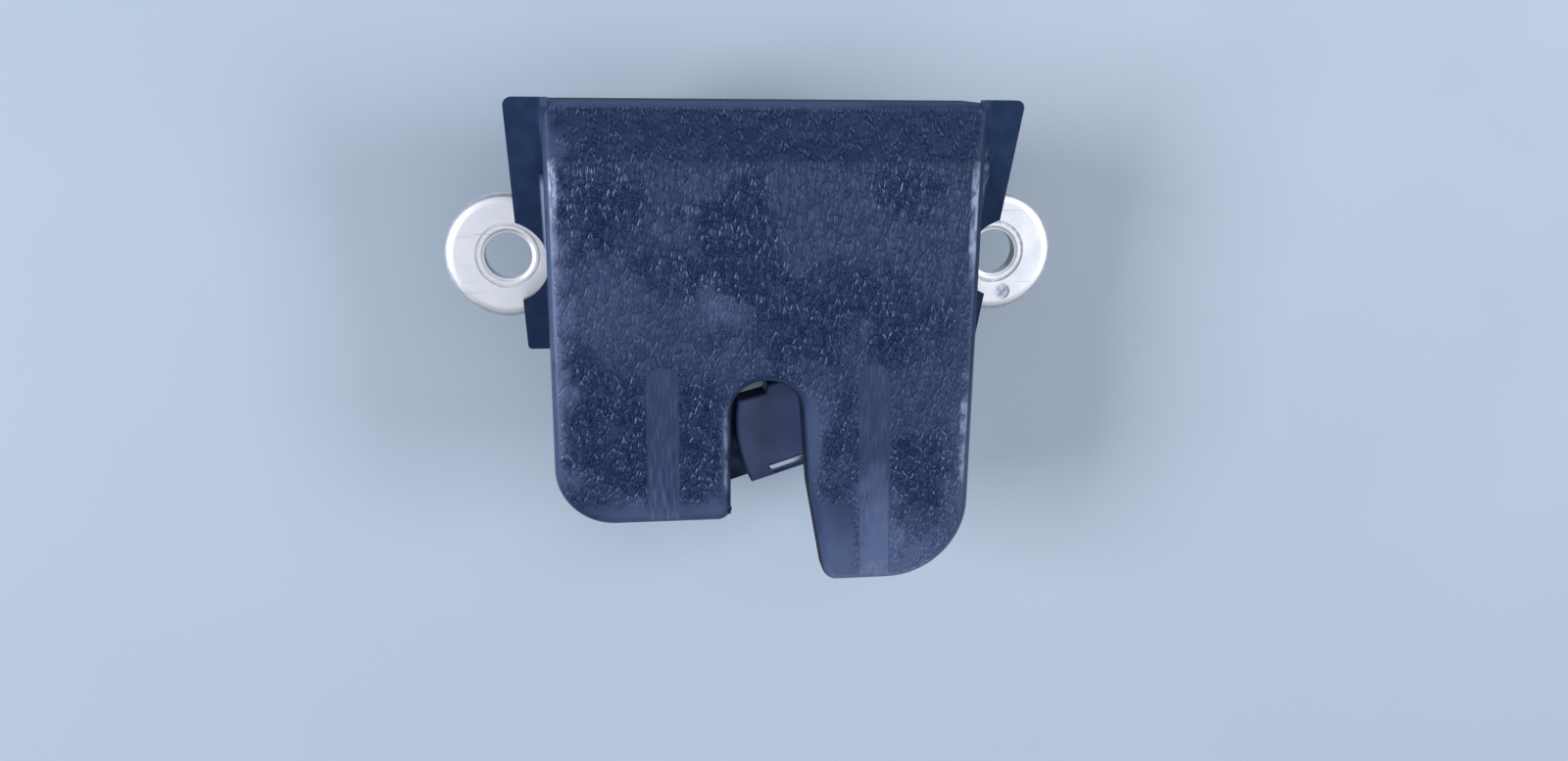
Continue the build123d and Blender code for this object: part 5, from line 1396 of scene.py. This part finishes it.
@dataclass(frozen=True)
class SoftBox:
    """A soft lamp that looks at the lock.

    Attributes:
        name: Its name.
        at: Where its middle hangs.
        size: Its two sides.
        glow: The brightness of its face, 1 for plain white.
        tint: Its colour, sRGB hex.
    """

    name: str
    at: Point
    size: tuple[float, float]
    glow: float
    tint: str

    def build(self) -> None:
        """Hangs the lamp."""
        light = bpy.data.lights.new(self.name, "AREA")
        light.shape = "RECTANGLE"
        light.size, light.size_y = self.size
        light.energy = self.glow * pi * self.size[0] * self.size[1]
        light.color = linear(self.tint)[:3]
        box = bpy.data.objects.new(self.name, light)
        box.location = self.at
        box.rotation_mode = "QUATERNION"
        box.rotation_quaternion = (-Vector(self.at)).to_track_quat("-Z", "Y")
        bpy.context.scene.collection.objects.link(box)


@dataclass
class Studio:
    """The table, the soft light and the camera.

    Attributes:
        table_z: Level of the table top.
        table_half: Half of the table's side.
        sky_tint: Colour of the even light from all round, sRGB hex.
        sky_strength: Strength of that light.
        lamps: The soft boxes.
        camera_at: Where the camera stands.
        camera_axes: The camera's right, up and back directions.
        lens_mm: Focal length on a sensor 36 mm wide.
        near: Nearest distance that the camera sees.
    """

    table_z: float
    table_half: float = 2.5
    sky_tint: str = "E6EEFA"
    sky_strength: float = 0.22
    lamps: Sequence[SoftBox] = (
        SoftBox("overhead", (0.35, 0.05, 1.75), (2.4, 2.0), 0.7, "EEF3FF"),
        SoftBox("left_window", (-1.45, 0.12, 1.15), (1.0, 0.62), 12.7, "EAF1FF"),
        SoftBox("right_window", (1.35, 0.1, 1.25), (0.9, 0.5), 9.2, "EAF1FF"),
    )
    camera_at: Point = (-0.025018, 0.036214, 0.230551)
    camera_axes: tuple[Point, Point, Point] = (
        (0.9916, 0.0111, 0.129), (0.0226, 0.9661, -0.2571), (-0.1274, 0.2579, 0.9577))
    lens_mm: float = 27.407
    near: float = 0.005

    def table(self, dresser: Dresser) -> None:
        """Lays the pale table under the lock.

        Args:
            dresser: Who holds the finishes.
        """
        half, level = self.table_half, self.table_z
        mesh = bpy.data.meshes.new("table")
        corners = [(-half, -half, level), (half, -half, level), (half, half, level), (-half, half, level)]
        mesh.from_pydata(corners, [], [(0, 1, 2, 3)])
        mesh.materials.append(dresser.material("board"))
        top = bpy.data.objects.new("table", mesh)
        bpy.context.scene.collection.objects.link(top)
        top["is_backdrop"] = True

    def sky(self) -> None:
        """Sets the even light of the world."""
        world = bpy.data.worlds.new("sky")
        world.use_nodes = True
        tree = world.node_tree
        tree.nodes.clear()
        glow = add(tree, "ShaderNodeBackground",
                   {"Color": linear(self.sky_tint), "Strength": self.sky_strength})
        add(tree, "ShaderNodeOutputWorld", {"Surface": glow.outputs[0]})
        bpy.context.scene.world = world

    def camera(self) -> None:
        """Puts the camera where the photograph was taken."""
        data = bpy.data.cameras.new("camera")
        data.sensor_fit = "HORIZONTAL"
        data.sensor_width = 36.0
        data.lens = self.lens_mm
        data.clip_start = self.near
        data.dof.use_dof = False
        camera = bpy.data.objects.new("camera", data)
        bpy.context.scene.collection.objects.link(camera)
        right, up, back = (Vector(axis).normalized() for axis in self.camera_axes)
        turn = Matrix((right, up, back)).transposed().to_4x4()
        camera.matrix_world = Matrix.Translation(self.camera_at) @ turn
        bpy.context.scene.camera = camera

    def build(self, dresser: Dresser) -> None:
        """Builds the whole studio.

        Args:
            dresser: Who holds the finishes.
        """
        bpy.context.scene.view_settings.view_transform = "Standard"
        self.table(dresser)
        self.sky()
        for lamp in self.lamps:
            lamp.build()
        self.camera()
        LOG.info("studio built, with %d lamps", len(self.lamps))


def main() -> None:
    logging.basicConfig(level=logging.INFO, format="%(name)s %(message)s")
    bpy.context.view_layer.update()
    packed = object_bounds()
    dresser = Dresser()
    CarriedNodes().dress(dresser)
    for assembly in (Fixings(), ConnectorPins(), HousingRibs(), TornFlash(), Studio(table_z=packed[0].z)):
        assembly.build(dresser)
    bpy.context.view_layer.update()


if __name__ == "__main__":
    main()
